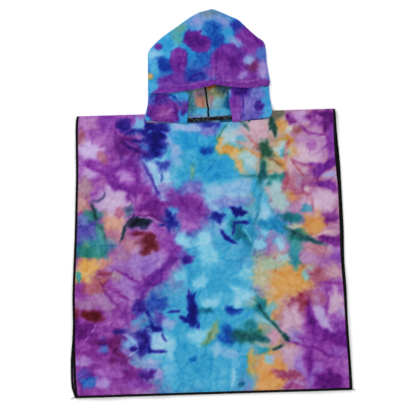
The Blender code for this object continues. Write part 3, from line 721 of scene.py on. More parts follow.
# What each dye takes out of red, green and blue light, the undyed cloth, and the thread.
CYAN_TAKES = (2.5, 0.57, 0.20)
PURPLE_TAKES = (0.75, 2.2, 0.62)
ORANGE_TAKES = (0.0, 0.45, 1.6)
UNDYED = (0.75, 0.73, 0.80)
THREAD_BLACK = (0.003, 0.003, 0.0035, 1.0)
OVERLOCK_WIDTH = 5.2


def towelling(name):
    """Dyed towelling: thin, matt, with short loops and a little sheen, black where overlocked."""
    made, shader, tree = new_material(name)
    where = tree.node("ShaderNodeTexCoord", {}, output="Object")
    dye = tree.node("ShaderNodeAttribute", {"attribute_name": "dye"}, output="Vector")
    edge = tree.node("ShaderNodeAttribute", {"attribute_name": "edge"}, output="Fac")
    speckle = tree.node("ShaderNodeTexNoise", {}, Vector=where, Scale=420.0, Detail=3.0)
    seep = tree.node("ShaderNodeTexNoise", {}, Vector=where, Scale=95.0, Detail=4.0, Roughness=0.62)
    uneven = 0.62 + 0.42 * speckle + 0.36 * seep
    channels = []
    for undyed, cyan, purple, orange in zip(UNDYED, CYAN_TAKES, PURPLE_TAKES, ORANGE_TAKES):
        soaked = tree.node("ShaderNodeVectorMath", {"operation": "DOT_PRODUCT"},
                           dye, (cyan, purple, orange), output=1)
        channels.append((-(soaked * uneven)).exponent() * undyed)
    colour = tree.node("ShaderNodeCombineColor", {}, *channels)
    loops = tree.node("ShaderNodeTexVoronoi", {"feature": "F1"}, Vector=where, Scale=760.0)
    rows = tree.node("ShaderNodeTexWave", {"bands_direction": "Y"}, Vector=where, Scale=240.0, Distortion=2.0)
    rumple = tree.node("ShaderNodeTexNoise", {}, Vector=where, Scale=26.0, Detail=3.0, Roughness=0.55)
    nap = loops * 0.6 + rows * 0.22 + speckle * 0.5
    nap_bump = tree.node("ShaderNodeBump", {}, Strength=0.5, Distance=0.0006, Height=nap)
    rumpled = tree.node("ShaderNodeBump", {}, Strength=0.55, Distance=0.0042, Height=rumple, Normal=nap_bump)
    band = (edge + speckle * 1.4).step(OVERLOCK_WIDTH + 0.9, OVERLOCK_WIDTH + 0.3)
    finished = tree.blend(band, colour, THREAD_BLACK)
    tree.feed(shader, Base_Color=finished, Roughness=0.98 - loops * 0.08, Normal=rumpled)
    shader.inputs["Sheen Weight"].default_value = 0.05
    shader.inputs["Sheen Roughness"].default_value = 0.6
    shader.inputs["Specular IOR Level"].default_value = 0.15
    return made


BODY_GROUND = (0.1, 0.45, 0.12)
REVERSE_STRENGTH = 0.62         # the reverse of the towelling took less dye
NECK_SLIT_PAINTED_SHADE = [Pool(-35, 587, 70, 8, 0, 1.9, .6, .6)]    # painted shade: a dark teal pool on the back's inside, standing in for the shadow in the neck slit
FOLD_DYE_START = 596            # the front's dye runs on over the fold, up from here
FOLD_DYE_END = 603

body_places, body_faces = body_shape()
body_points, body_wall = wall(body_places[:, :3], body_faces, CLOTH)
body_x, body_y = body_points[:, 0], body_points[:, 1]
body_edge = np.tile(body_places[:, 3], 2)
body_front = np.tile(body_places[:, 4], 2)
body_reverse = np.repeat([0.0, 1.0], len(body_places))
dye_front = dyed(body_x, body_y, BODY_POOLS, BODY_VEINS, BODY_GROUND, 101)
# the back's dye, with painted shade where its inside shows through the neck slit
dye_back = dyed(-body_x, body_y, BODY_POOLS + NECK_SLIT_PAINTED_SHADE, BODY_VEINS, BODY_GROUND, 301)
dye_back = mix(dye_back, dye_front, ease(body_y, FOLD_DYE_START, FOLD_DYE_END)[:, None])
body_dye = np.where(body_front[:, None] > 0.5, dye_front, dye_back)
body_dye = body_dye * np.where(body_reverse > 0.5, REVERSE_STRENGTH, 1.0)[:, None]
body_towelling = towelling("body_towelling")
body = cloth_object("body_cloth_dyed", body_points, body_wall, body_dye, body_edge, body_towelling)
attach(body, "root")
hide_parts("body_cloth")

# ---- The hood -----------------------------------------------------------------------------
# Two mirrored panels of the same towelling, sewn together over the crown and down the back of
# the head, and to the slit round the neck. The face edge has a wide turned hem. Below the
# brim each panel's front folds in as a side flap, and the brim lies on the flaps.
HoodRow = namedtuple("HoodRow", "seam_x seam_y side_x side_y front_x front_y")
LEFT_SIDE = [
    HoodRow(10, 588.5, -122.5, 590, -35.5, 582), HoodRow(9.5, 593, -124, 594.5, -34.5, 588.2),
    HoodRow(9, 600, -124.5, 601, -33.5, 597), HoodRow(8, 612, -121.5, 613, -32.5, 610),
    HoodRow(6.5, 630, -118, 630, -31, 630), HoodRow(4, 648, -117, 648, -30, 648),
]
LEFT_CROWN = [
    HoodRow(4, 648, -117, 648, 26.8, 664), HoodRow(2.5, 664, -116.7, 664, 28, 677),
    HoodRow(3, 684, -116.2, 688, 29.5, 694), HoodRow(7, 706, -115.3, 714, 30.5, 712),
    HoodRow(12, 728, -114, 737, 29.5, 731), HoodRow(16, 745, -102, 753, 28.5, 747),
    HoodRow(19, 760, -81, 771, 27.5, 761), HoodRow(21.5, 772, -50, 791.5, 27, 773),
    HoodRow(23.5, 782, -24, 809, 26.5, 783), HoodRow(25, 790, -4, 819.5, 26, 790.5),
    HoodRow(25.6, 796, 12, 823.5, 25.8, 796), HoodRow(25.6, 800, 25.25, 827, 25.6, 800),
]
RIGHT_SIDE = [
    HoodRow(10, 588.5, 138.5, 589, 62.5, 582), HoodRow(9.5, 593, 144, 593.5, 61.8, 588.2),
    HoodRow(9, 600, 148, 601, 60.5, 597), HoodRow(8, 612, 147, 613.5, 58.5, 611),
    HoodRow(6.5, 630, 144, 632, 56, 634), HoodRow(4, 648, 142.5, 657, 57, 655),
]
RIGHT_CROWN = [
    HoodRow(4, 648, 142.5, 657, 26.8, 664), HoodRow(2.5, 664, 145, 667, 28, 677),
    HoodRow(3, 684, 142.5, 685, 29.5, 694), HoodRow(7, 706, 139.5, 708, 30.5, 712),
    HoodRow(12, 728, 138, 735, 29.5, 731), HoodRow(16, 745, 134, 753, 28.5, 747),
    HoodRow(19, 760, 120.5, 764, 27.5, 761), HoodRow(21.5, 772, 104, 779, 27, 773),
    HoodRow(23.5, 782, 82, 801, 26.5, 783), HoodRow(25, 790, 62, 811, 26, 790.5),
    HoodRow(25.6, 796, 42, 820.5, 25.8, 796), HoodRow(25.6, 800, 25.95, 827, 25.6, 800),
]
ON_YOKE = 4.35                  # the middle of cloth that lies on the body's two layers
YOKE_ENDS = 606.0               # from here the hood's back dips down to the table
TABLE_STARTS = 630.0
SEAM_GAP = 0.15
HOOD_COLUMNS = 70
HOOD_FOLD_STEPS = 6
SIDE_ROWS_PER_GAP = 8
CROWN_ROWS_PER_GAP = 9
NECK_SEAM_RUN = 26.0            # how far in from the side the flap comes down on the yoke
FLAP_TUCK = 5.0                 # how far the flap's top reaches under the brim
FLAP_DIP = 2.0                  # how far it dips beside the side fold first
TUCK_STARTS = 9.0
TUCK_ENDS = 2.2 * TUCK_STARTS
FLAP_CORNER = 11.0              # how long its corner at the face is
CORNER_DROP = FLAP_TUCK + 3.0
BRIM_SETTLES = 28.0             # how far up the brim's lift over the flap fades
BRIM_SAG = 4.5
BRIM_START = 3.0
BRIM_CORNER = 0.15              # the share of the brim that is kept clear of the flap's top
HEM_WIDTH = 20.0                # of the turned hem round the face
HEM_EDGE = 4.0
HEM_RISE = 1.1
CROWN_TIP = (25.0, 815.0)       # the crown lies flat round its tip, where the layers meet
TIP_FLAT = 12.0
TIP_FREE = 40.0
LEFT_STEP = 1.7                 # the left crown stands up off its side fold, inside this strip
STEP_STARTS = -110.5
STEP_ENDS = -108.5
STEP_FADES = 730.0
STEP_GONE = 745.0

HOOD_CREASES = [
    Crease(-60, 664, 90, 4, 2.6, 0.9), Crease(-20, 676, 80, 8, 3.0, 0.8),
    Crease(-80, 682, 50, -4, 3.0, 0.7), Crease(70, 668, 90, -3, 2.8, 0.9),
    Crease(105, 682, 60, -10, 3.0, 0.8), Crease(40, 686, 60, 6, 3.4, 0.8),
    Crease(-70, 720, 90, 60, 6.0, 0.9), Crease(-20, 745, 100, 25, 7.0, 0.9),
    Crease(60, 735, 90, -30, 7.0, 1.0), Crease(100, 720, 80, 50, 6.0, 0.9),
    Crease(0, 790, 70, 40, 6.0, 0.8), Crease(60, 785, 70, -45, 6.0, 0.8),
    Crease(115, 752, 60, -60, 5.0, 0.9), Crease(28, 710, 70, 80, 5.0, 0.7),
]
FLAP_CREASES = [
    Crease(-100, 634, 40, -35, 2.6, 1.1), Crease(-84, 638, 36, -60, 2.4, 1.0),
    Crease(-64, 632, 30, -15, 2.4, 0.9), Crease(-58, 612, 52, 84, 2.2, 0.7),
    Crease(-88, 604, 50, 20, 4.0, 0.9), Crease(-44, 618, 44, 75, 2.4, 0.7),
    Crease(74, 640, 30, -50, 2.4, 1.0), Crease(96, 636, 40, -20, 2.6, 1.0),
    Crease(120, 632, 36, 30, 2.8, 1.0), Crease(80, 612, 50, 86, 2.2, 0.7),
    Crease(108, 606, 50, -15, 4.0, 0.9), Crease(68, 616, 46, 84, 2.2, 0.7),
]
INSIDE_CREASES = [
    Crease(-8, 640, 60, -40, 4.0, 0.6), Crease(36, 634, 60, 55, 4.0, 0.6),
    Crease(24, 612, 50, 10, 4.0, 0.5),
]


def back_layer_height(y):
    """The middle of the hood's back layer: up on the yoke, then down to the table."""
    return mix(ON_YOKE, FLOOR_LAYER, ease(y, YOKE_ENDS, TABLE_STARTS))


def outward(rows, index):
    """Unit direction in plan, square to the hood's outline, away from the hood."""
    first, last = rows[max(index - 1, 0)], rows[min(index + 1, len(rows) - 1)]
    along_x, along_y = last.side_x - first.side_x, last.side_y - first.side_y
    length = math.hypot(along_x, along_y)
    side = 1.0 if rows[0].side_x > rows[0].seam_x else -1.0
    return side * along_y / length, -side * along_x / length


def hood_row(row, way, lift):
    """Places of one row: back layer, turned side, front layer lifted above the back one."""
    turn = lift / 2
    inset = turn + CLOTH / 2
    centre_x, centre_y = row.side_x - way[0] * inset, row.side_y - way[1] * inset
    share = np.arange(HOOD_COLUMNS) / HOOD_COLUMNS
    x, y = mix(row.seam_x, centre_x, share), mix(row.seam_y, centre_y, share)
    back = np.column_stack([x, y, back_layer_height(y)])
    angle = np.linspace(0.0, math.pi, HOOD_FOLD_STEPS + 1)
    reach = turn * np.sin(angle)
    height = float(back_layer_height(centre_y)) + turn * (1 - np.cos(angle))
    side = np.column_stack([centre_x + way[0] * reach, centre_y + way[1] * reach, height])
    share = np.arange(1, HOOD_COLUMNS + 1) / HOOD_COLUMNS
    x, y = mix(centre_x, row.front_x, share), mix(centre_y, row.front_y, share)
    front = np.column_stack([x, y, back_layer_height(y) + lift])
    return back, side, front


def refined(rows, per_gap):
    steps = (len(rows) - 1) * per_gap
    return [between(rows, step / per_gap) for step in range(steps + 1)]


BACK_PART, FLAP_PART, CROWN_PART = 0.0, 1.0, 2.0


def hem_rise(distance):
    """How much thicker the turned hem makes the cloth, at a distance from the face edge."""
    return HEM_RISE * (1.0 - ease(distance, HEM_WIDTH - HEM_EDGE, HEM_WIDTH))


def side_row(rows, index):
    """One row of a panel below the brim: its layers, with the flap tucked under the brim and
    sewn down on the yoke at the neck."""
    row = rows[index]
    top = rows[-1]
    up = index / (len(rows) - 1)
    nearing = ease(up, 0.8, 1.0)
    back, side, flap = hood_row(row, outward(rows, index), mix(1.0, 1.5, nearing) * LAYER)
    flap[:, 2] -= mix(0.0, 0.5, nearing) * LAYER
    from_side = np.abs(flap[:, 0] - row.side_x)
    from_face = np.abs(flap[:, 0] - row.front_x)
    at_neck = 1.0 - ease(up, 0.0, 0.2)
    sewn_down = mix(flap[:, 2], ON_YOKE, ease(from_side, 0.0, NECK_SEAM_RUN))
    flap[:, 2] = mix(flap[:, 2], sewn_down, at_neck)
    run = abs(top.side_x - top.front_x)
    dip = -FLAP_DIP * ease(from_side, 0.0, TUCK_STARTS)
    tuck = (FLAP_TUCK + FLAP_DIP) * ease(from_side, TUCK_STARTS, TUCK_ENDS)
    corner = CORNER_DROP * ease(from_side, run - FLAP_CORNER, run)
    flap[:, 1] += up ** 6 * (dip + tuck - corner)
    loose = ease(from_side, 2.0, 14.0) * (1.0 - at_neck)
    crumpled = creased(flap[:, 0], flap[:, 1], FLAP_CREASES)
    flap[:, 2] += (hem_rise(from_face) * 0.8 + crumpled) * loose
    inside = creased(back[:, 0], back[:, 1], INSIDE_CREASES)
    back[:, 2] += inside * ease(up, 0.15, 0.4) * (1.0 - nearing)
    return back, side, flap


def crown_row(rows, index, foot_way, left):
    """One row of a panel from the brim up. The brim sags, and lies over the flap's top."""
    row = rows[index]
    foot = rows[0]
    above_brim = row.side_y - foot.side_y
    way = outward(rows, index)
    if index == 0:
        way = foot_way
    if index == len(rows) - 1:
        way = (0.0, 1.0)
    lift = mix(2.0, 1.0, float(ease(above_brim, 0.0, BRIM_SETTLES))) * LAYER
    side_lift = mix(lift, 1.5 * LAYER, float(1.0 - ease(above_brim, 0.0, BRIM_START)))
    back, side, crown = hood_row(row, way, side_lift)
    crown[:, 2] += (lift - side_lift)
    share = np.arange(1, HOOD_COLUMNS + 1) / HOOD_COLUMNS
    sag = np.sin(math.pi * share)
    brim_y = foot.side_y + (foot.front_y - foot.side_y) * share - BRIM_SAG * sag
    near_brim = max(0.0, 1.0 - index / (2.0 * CROWN_ROWS_PER_GAP))
    crown[:, 1] -= BRIM_SAG * near_brim * sag
    if index == 0:
        clear = np.maximum(crown[:, 1], row.side_y + 1.0)
        crown[:, 1] = np.where(share < BRIM_CORNER, clear, crown[:, 1])
    loose = ease(share, 0.03, 0.16)
    from_tip = np.hypot(crown[:, 0] - CROWN_TIP[0], crown[:, 1] - CROWN_TIP[1])
    closing = ease(from_tip, TIP_FLAT, TIP_FREE)
    crumpled = creased(crown[:, 0], crown[:, 1], HOOD_CREASES)
    hem = hem_rise(crown[:, 1] - brim_y)
    step_in = LEFT_STEP * ease(crown[:, 0], STEP_STARTS, STEP_ENDS)
    step_in = step_in * (1.0 - ease(crown[:, 1], STEP_FADES, STEP_GONE))
    crown[:, 2] += (hem + crumpled * closing) * loose + step_in * left
    return back, side, crown


def hood_half(side_rows, crown_rows, gap):
    """Middle surface of one panel: places with their part, and faces. gap is the panel's share
    of the seam, below 0 for the left one."""
    side_rows = refined(side_rows, SIDE_ROWS_PER_GAP)
    crown_rows = refined(crown_rows, CROWN_ROWS_PER_GAP)
    last = len(side_rows) - 1
    foot_way = outward(side_rows, last)
    rows = [(*side_row(side_rows, index), FLAP_PART) for index in range(len(side_rows))]
    rows += [(*crown_row(crown_rows, index, foot_way, gap < 0), CROWN_PART)
             for index in range(len(crown_rows))]

    width = 2 * HOOD_COLUMNS + HOOD_FOLD_STEPS + 1
    shared = width - HOOD_COLUMNS
    blocks = []
    for back, side, front, part in rows:
        parts = np.concatenate([np.full(len(back) + len(side) // 2, BACK_PART),
                                np.full(width - len(back) - len(side) // 2, part)])
        blocks.append(np.column_stack([np.concatenate([back, side, front]), parts]))
    places = np.concatenate(blocks)
    places[:, 0] += gap
    number = np.arange(len(rows) * width).reshape(len(rows), width)
    number[last + 1, :shared] = number[last, :shared]
    faces = []
    for row in range(len(rows) - 1):
        if row == last:
            continue
        low, high = number[row], number[row + 1]
        faces.extend(zip(low[:-1], low[1:], high[1:], high[:-1]))
    faces = np.array(faces)
    if gap > 0:
        faces = faces[:, ::-1]
    used = np.unique(faces)
    renumber = np.zeros(len(places), int)
    renumber[used] = np.arange(len(used))
    return places[used], renumber[faces]


CROWN_POOLS = [
    Pool(85, 700, 62, 30, -8, .12, .95, 0, .35), Pool(-20, 700, 90, 22, 5, .9, .35, 0, .8),
    Pool(20, 816, 24, 10, 0, .55, .25, .35, 1), Pool(0, 799, 28, 16, -10, .28, .22, 0, 1),
    Pool(47, 799, 25, 16, -20, .3, .24, 0, 1), Pool(-41, 791, 14, 11, 30, .5, .05, .3),
    Pool(-53, 769, 11, 14, 0, .7, .03, .25), Pool(28, 775, 17, 24, 0, 1.5, .35, 0, .9),
    Pool(38, 756, 12, 14, 0, 1.2, .6, 0, .8),
    Pool(80, 790, 11, 14, 0, .8, .7, 0), Pool(114, 760, 34, 40, -40, .1, 1.05, 0, .35),
    Pool(73, 753, 19, 10, -30, .4, .2, 0, .8), Pool(-101, 728, 14, 17, 0, .4, .05, 0, 1),
    Pool(-88, 708, 16, 13, -15, 1.8, .9, 0, 1), Pool(8, 722, 24, 30, 0, 1.3, .35, 0, .9),
    Pool(-27, 733, 16, 16, 0, 1.0, .1, 0, .9), Pool(-7, 758, 33, 22, -25, .15, 1.25, 0, .2),
    Pool(-51, 718, 20, 32, 0, .15, 1.25, 0, .22), Pool(-94, 746, 7, 6, 0, .15, 1.1, 0),
    Pool(58, 716, 40, 35, 10, .15, 1.15, 0, .25), Pool(55, 693, 55, 19, -5, .12, 1.0, 0),
    Pool(105, 714, 12, 11, 0, .3, .35, 0), Pool(132, 726, 11, 22, 0, .6, .4, 0),
    Pool(130, 690, 14, 19, 0, .15, .3, 0, .8), Pool(110, 700, 13, 11, 0, .15, 1.15, .4, 1),
    Pool(85, 686, 16, 6, 20, .15, .4, 0, .8), Pool(104, 712, 10, 9, 20, .25, .2, 0, .8),
    Pool(-45, 674, 52, 19, 6, .2, 1.05, 0, .3), Pool(-17, 690, 20, 12, 0, 1.1, .7, 0, .8),
    Pool(-45, 657, 70, 12, 6, .15, 1.1, 0, .4), Pool(27, 665, 44, 11, 3, .12, 1.15, 0, .4),
    Pool(100, 664, 54, 13, -3, .12, 1.1, .05, .4), Pool(-4, 684, 14, 9, 0, 1.0, .9, 0, .8),
    Pool(-104, 700, 8, 22, 0, .75, .05, 0, .7), Pool(-116, 640, 7, 50, 0, .9, .05, 0, .3),
    Pool(-114, 684, 5, 8, 0, .1, .1, .8, .6),
]
FLAP_POOLS = [
    Pool(92, 622, 40, 44, 0, .3, .5, 0, .6), Pool(-86, 606, 34, 36, 0, .15, 1.2, .05, .3),
    Pool(-87, 604, 13, 12, 0, .08, 1.0, .15, .9), Pool(-92, 635, 19, 12, 0, .4, 1.2, 0),
    Pool(-42, 622, 15, 17, 0, .3, 1.0, .05, .4), Pool(-60, 640, 26, 6, -12, .9, .25, 0, .6),
    Pool(-67, 643, 16, 8, 10, .7, .1, 0),
    Pool(-109, 631, 8, 11, 0, .6, .5, 0), Pool(68, 612, 13, 40, 0, .12, .95, 0, .4),
    Pool(82, 646, 19, 12, -10, .5, 1.7, 0, .6), Pool(92, 626, 14, 15, 0, .25, .45, 0, .8),
    Pool(101, 596, 24, 11, 0, .4, .7, 0, .8), Pool(112, 640, 18, 10, 0, .3, .35, 0, .9),
    Pool(120, 615, 11, 11, 0, .4, 1.1, 0, .3),
]
INSIDE_POOLS = [
    Pool(16, 633, 60, 36, 0, .35, .12, .3, 1), Pool(-10, 632, 16, 18, 0, .1, .35, .75, 1),
    Pool(-4, 650, 18, 8, 0, .3, .4, .5, 1), Pool(-8, 606, 30, 10, -5, .9, .05, .05, .8),
    Pool(-28, 632, 8, 26, 0, 1.0, .25, .5, 1), Pool(22, 658, 13, 6, -10, .1, .4, 2.2, .8),
    Pool(26, 640, 16, 14, 0, .35, .15, .85, 1), Pool(15, 630, 4, 18, 0, .1, .5, .5, .9),
    Pool(34, 621, 16, 14, 0, .5, .1, .2, 1), Pool(56, 618, 12, 25, 0, 1.7, .3, .3, 1),
    Pool(48, 654, 16, 12, 0, 1.0, .5, .8, 1), Pool(36, 601, 24, 7, 0, .8, .05, .05, .9),
]
HOOD_GROUND = (0.85, 0.05, 0.0)
CROWN_VEINS = [
    Vein(-52, 742, -50, 692, 0, 4, .2, 1.6, 0), Vein(-38, 762, 16, 756, 4, 6, .2, 1.6, 0),
    Vein(-70, 664, 20, 672, 2, 1.6, .15, .7, 0), Vein(-30, 682, 10, 690, 2, 3, .9, 1.4, 0),
    Vein(30, 735, 80, 700, 5, 6, .15, 1.5, 0), Vein(95, 785, 132, 740, 3, 6, .1, 1.4, 0),
    Vein(40, 675, 130, 668, 2, 1.8, .1, .6, .05), Vein(28, 800, 30, 740, 2, 6, 1.7, .4, 0),
]
FLAP_VEINS = [
    Vein(-108, 628, -72, 640, 4, 3, .3, 1.8, 0), Vein(-76, 644, -56, 630, 3, 2, 1.5, .7, 0),
    Vein(-62, 642, -44, 622, -3, 2, 1.4, .6, 0), Vein(-66, 628, -60, 590, 2, 2, .3, 1.5, 0),
    Vein(-104, 598, -70, 612, -3, 3, .1, .7, .1), Vein(66, 640, 92, 650, 3, 3, .4, 1.9, 0),
    Vein(82, 640, 80, 590, 1, 1.6, .4, 1.1, 0),
]
LINING_GROUND = (0.5, 0.3, 0.1)
HOOD_REVERSE_STRENGTH = 0.5
MIRROR_X = 20.0                 # the hood's underside is dyed as its top is, turned over this way
NO_OVERLOCK = 99.0              # the hood's edges are sewn in or turned, so none is black
hood_towelling = towelling("hood_towelling")


def make_hood_piece(name, node, side_rows, crown_rows, gap):
    """One panel: its shape, the dye of each part of it, and what it stands for."""
    places, faces = hood_half(side_rows, crown_rows, gap)
    points, walled = wall(places[:, :3], faces, CLOTH)
    part = np.tile(places[:, 3], 2)
    inside = np.repeat([0.0, 1.0], len(places))
    x, y = points[:, 0], points[:, 1]
    crown = dyed(x, y, CROWN_POOLS, CROWN_VEINS, HOOD_GROUND, 501, 0.3, 0.4)
    flap = dyed(x, y, FLAP_POOLS, FLAP_VEINS, HOOD_GROUND, 601, 0.5, 0.5)
    lining = dyed(x, y, INSIDE_POOLS, [], LINING_GROUND, 701, 0.5, 0.5)
    under = dyed(MIRROR_X - x, y, CROWN_POOLS, CROWN_VEINS, HOOD_GROUND, 801, 0.3, 0.5)
    outside = np.where(part[:, None] == FLAP_PART, flap, under)
    outside = np.where(part[:, None] == CROWN_PART, crown, outside)
    reverse = np.where(part[:, None] == BACK_PART, lining, outside * HOOD_REVERSE_STRENGTH)
    dye = np.where(inside[:, None] > 0.5, reverse, outside)
    edge_distance = np.full(len(points), NO_OVERLOCK)
    made = cloth_object(name, points, walled, dye, edge_distance, hood_towelling)
    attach(made, "root")
    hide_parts(node)
    return made


hood_left = make_hood_piece("hood_left_dyed", "hood_left", LEFT_SIDE, LEFT_CROWN, -SEAM_GAP)
hood_right = make_hood_piece("hood_right_dyed", "hood_right", RIGHT_SIDE, RIGHT_CROWN, SEAM_GAP)

# ---- The black overlock -------------------------------------------------------------------
# Both panels' sides and hems are trimmed and wrapped by close loops of black thread, laid by
# an overlocker. The same loops bind the seam down the back of the hood and the neck seam,
# where grey flecks of the thread beneath show between them.
def thread_tube(name, places, radius, sides, finish):
    """One short length of thread through places, in millimetres, as a closed tube."""
    places = np.array(places, float)
    points, faces = [], []
    for index, place in enumerate(places):
        along = places[min(index + 1, len(places) - 1)] - places[max(index - 1, 0)]
        along = along / np.linalg.norm(along)
        helper = np.array([1.0, 0.0, 0.0]) if abs(along[0]) < 0.8 else np.array([0.0, 1.0, 0.0])
        across = np.cross(along, helper)
        across /= np.linalg.norm(across)
        up = np.cross(along, across)
        for side in range(sides):
            angle = 2 * math.pi * side / sides
            points.append(place + radius * (across * math.cos(angle) + up * math.sin(angle)))
    for ring in range(len(places) - 1):
        for side in range(sides):
            first, second = ring * sides + side, ring * sides + (side + 1) % sides
            faces.append((first, second, second + sides, first + sides))
    faces.append(tuple(range(sides))[::-1])
    faces.append(tuple(range(len(points) - sides, len(points))))
    mesh = bpy.data.meshes.new(name)
    mesh.from_pydata((np.array(points) * METRES).tolist(), [], faces)
    mesh.materials.append(finish)
    mesh.shade_smooth()
    made = bpy.data.objects.new(name, mesh)
    collection.objects.link(made)
    return made


def stitch_tree():
    """Sets a copy of one stitch along each path, at an even pitch, no two quite alike."""
    group = bpy.data.node_groups.new("stitches_along_path", "GeometryNodeTree")
    group.interface.new_socket("Geometry", in_out="OUTPUT", socket_type="NodeSocketGeometry")
    group.interface.new_socket("Paths", in_out="INPUT", socket_type="NodeSocketGeometry")
    for name, kind in (("Stitch", "NodeSocketObject"), ("Pitch", "NodeSocketFloat"),
                       ("Unevenness", "NodeSocketFloat"), ("Seed", "NodeSocketInt"),
                       ("Thread", "NodeSocketMaterial")):
        group.interface.new_socket(name, in_out="INPUT", socket_type=kind)
    tree = Tree(group)
    given = group.nodes.new("NodeGroupInput")
    paths, stitch, pitch, uneven, seed, thread = [Socket(tree, output) for output in given.outputs[:6]]
    curve = tree.node("GeometryNodeMeshToCurve", {}, paths)
    spaced = tree.node("GeometryNodeResampleCurve", {"mode": "LENGTH"}, curve, Length=pitch)
    tangent = tree.node("GeometryNodeInputTangent", {})
    turned = tree.node("FunctionNodeAlignRotationToVector", {"axis": "X", "pivot_axis": "Z"},
                       Vector=tangent)
    size_noise = tree.node("FunctionNodeRandomValue", {"data_type": "FLOAT"}, output=1,
                           **{"2": 1.0 - uneven, "3": 1.0 + uneven, "8": seed})
    swing = tree.node("FunctionNodeRandomValue", {"data_type": "FLOAT"}, output=1,
                      **{"2": -2.2 * uneven, "3": 2.2 * uneven, "8": seed + 7.0})
    lean = tree.node("ShaderNodeCombineXYZ", {}, Z=swing)
    turned = tree.node("FunctionNodeRotateRotation", {"rotation_space": "LOCAL"}, turned, lean)
    shape = tree.node("GeometryNodeObjectInfo", {"transform_space": "ORIGINAL"}, stitch,
                      output="Geometry")
    placed = tree.node("GeometryNodeInstanceOnPoints", {}, spaced,
                       Instance=shape, Rotation=turned, Scale=size_noise)
    solid = tree.node("GeometryNodeRealizeInstances", {}, placed)
    finished = tree.node("GeometryNodeSetMaterial", {}, solid, Material=thread)
    result = group.nodes.new("NodeGroupOutput")
    group.links.new(finished.output, result.inputs[0])
    return group


STITCHES = stitch_tree()


def sewn(name, paths, stitch, pitch, unevenness, seed, thread):
    """A piece of stitches along paths, given in millimetres, as one plain mesh."""
    mesh = bpy.data.meshes.new(name + "_paths")
    points, edges = [], []
    for path in paths:
        edges.extend((len(points) + step, len(points) + step + 1) for step in range(len(path) - 1))
        points.extend(in_frame(path))
    mesh.from_pydata([tuple(point) for point in points], edges, [])
    guide = bpy.data.objects.new(name + "_guide", mesh)
    collection.objects.link(guide)
    modifier = guide.modifiers.new("stitches", "NODES")
    modifier.node_group = STITCHES
    named = {item.name: item.identifier for item in STITCHES.interface.items_tree
             if item.in_out == "INPUT"}
    modifier[named["Stitch"]] = stitch
    modifier[named["Pitch"]] = pitch * METRES
    modifier[named["Unevenness"]] = unevenness
    modifier[named["Seed"]] = seed
    modifier[named["Thread"]] = thread
    bpy.context.view_layer.update()
    graph = bpy.context.evaluated_depsgraph_get()
    made = bpy.data.objects.new(name, bpy.data.meshes.new_from_object(guide.evaluated_get(graph)))
    made.data.name = name
    made.data.materials.clear()
    made.data.materials.append(thread)
    collection.objects.link(made)
    bpy.data.objects.remove(guide)
    bpy.data.objects.remove(stitch)
    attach(made, "root")
    return made


def thread_material(name, colour, fleck=None):
    """Matt spun thread, with a lighter fleck here and there where given."""
    made, shader, tree = new_material(name)
    where = tree.node("ShaderNodeTexCoord", {}, output="Object")
    fluff = tree.node("ShaderNodeTexNoise", {}, Vector=where, Scale=1500.0, Detail=2.0)
    darker = tuple(0.6 * part for part in colour[:3]) + (1.0,)
    lighter = tuple(1.5 * part for part in colour[:3]) + (1.0,)
    shade = tree.blend(fluff, darker, lighter)
    if fleck:
        patch = tree.node("ShaderNodeTexVoronoi", {"feature": "F1"}, Vector=where, Scale=620.0,
                          output="Color")
        pick = tree.node("ShaderNodeSeparateColor", {}, patch)
        shade = tree.blend(pick.step(0.84, 0.9), shade, fleck)
    tree.feed(shader, Base_Color=shade, Roughness=0.82 + fluff * 0.12,
              Normal=tree.node("ShaderNodeBump", {}, Strength=0.4, Distance=0.0002, Height=fluff))
    shader.inputs["Specular IOR Level"].default_value = 0.15
    return made


FLECK_GREY = (0.15, 0.15, 0.16, 1.0)
black_thread = thread_material("black_overlock_thread", THREAD_BLACK)
flecked_thread = thread_material("flecked_neck_thread", THREAD_BLACK, FLECK_GREY)
OVERLOCK_TOP = 598.0            # how far up the sides the open edges run
CORNER_GAP = 1.0


def edge_path(left, right, height, step=6.0):
    """Round the open edges of one panel: down the left side, along the hem and up the right.
    left and right give an edge's x at a height, height(x, y) the middle of the cloth."""
    path = [(left(y), y) for y in np.arange(OVERLOCK_TOP, CORNER_GAP, -step)]
    path.extend((x, 0.0) for x in np.arange(left(0.0) + CORNER_GAP, right(0.0) - CORNER_GAP, step))
    path.extend((right(y), y) for y in np.arange(CORNER_GAP, OVERLOCK_TOP, step))
    return [(x, y, height(x, y)) for x, y in path]


def front_middle(x, y):
    """Height of the front panel's middle at its edge."""
    lift = front_rise(np.array([x]), np.array([y]), np.array([0.0]))
    return FLOOR_LAYER + LAYER + float(lift[0])


front_edge = edge_path(lambda y: edge_at(y).front_left, lambda y: edge_at(y).front_right,
                       front_middle)
back_edge = edge_path(lambda y: edge_at(y).back_left, lambda y: edge_at(y).back_right,
                      lambda x, y: FLOOR_LAYER)
LOOP_PITCH = 2.3
LOOP_THREAD = 0.42              # half the thread's width
LOOP_SIDES = 4
front_loop = thread_tube(
    "overlock_loop",
    [(-1.0, OVERLOCK_WIDTH, 0.85), (-0.3, 0.5 * OVERLOCK_WIDTH, 1.15), (0.5, 0.2, 1.1),
     (0.9, -0.6, 0.35), (0.9, -0.5, -0.3)],
    LOOP_THREAD, LOOP_SIDES, black_thread)
rim_loop = thread_tube(
    "rim_loop",
    [(-0.4, 0.9, 0.62), (0.1, -0.3, 0.62), (0.5, -0.7, 0.1), (0.5, -0.5, -0.3)],
    0.40, LOOP_SIDES, black_thread)
sewn("front_overlock", [front_edge], front_loop, LOOP_PITCH, 0.07, 11, black_thread)
sewn("back_overlock", [back_edge], rim_loop, LOOP_PITCH, 0.07, 12, black_thread)


ABOVE_ALL = 0.1                 # metres, higher than any cloth here


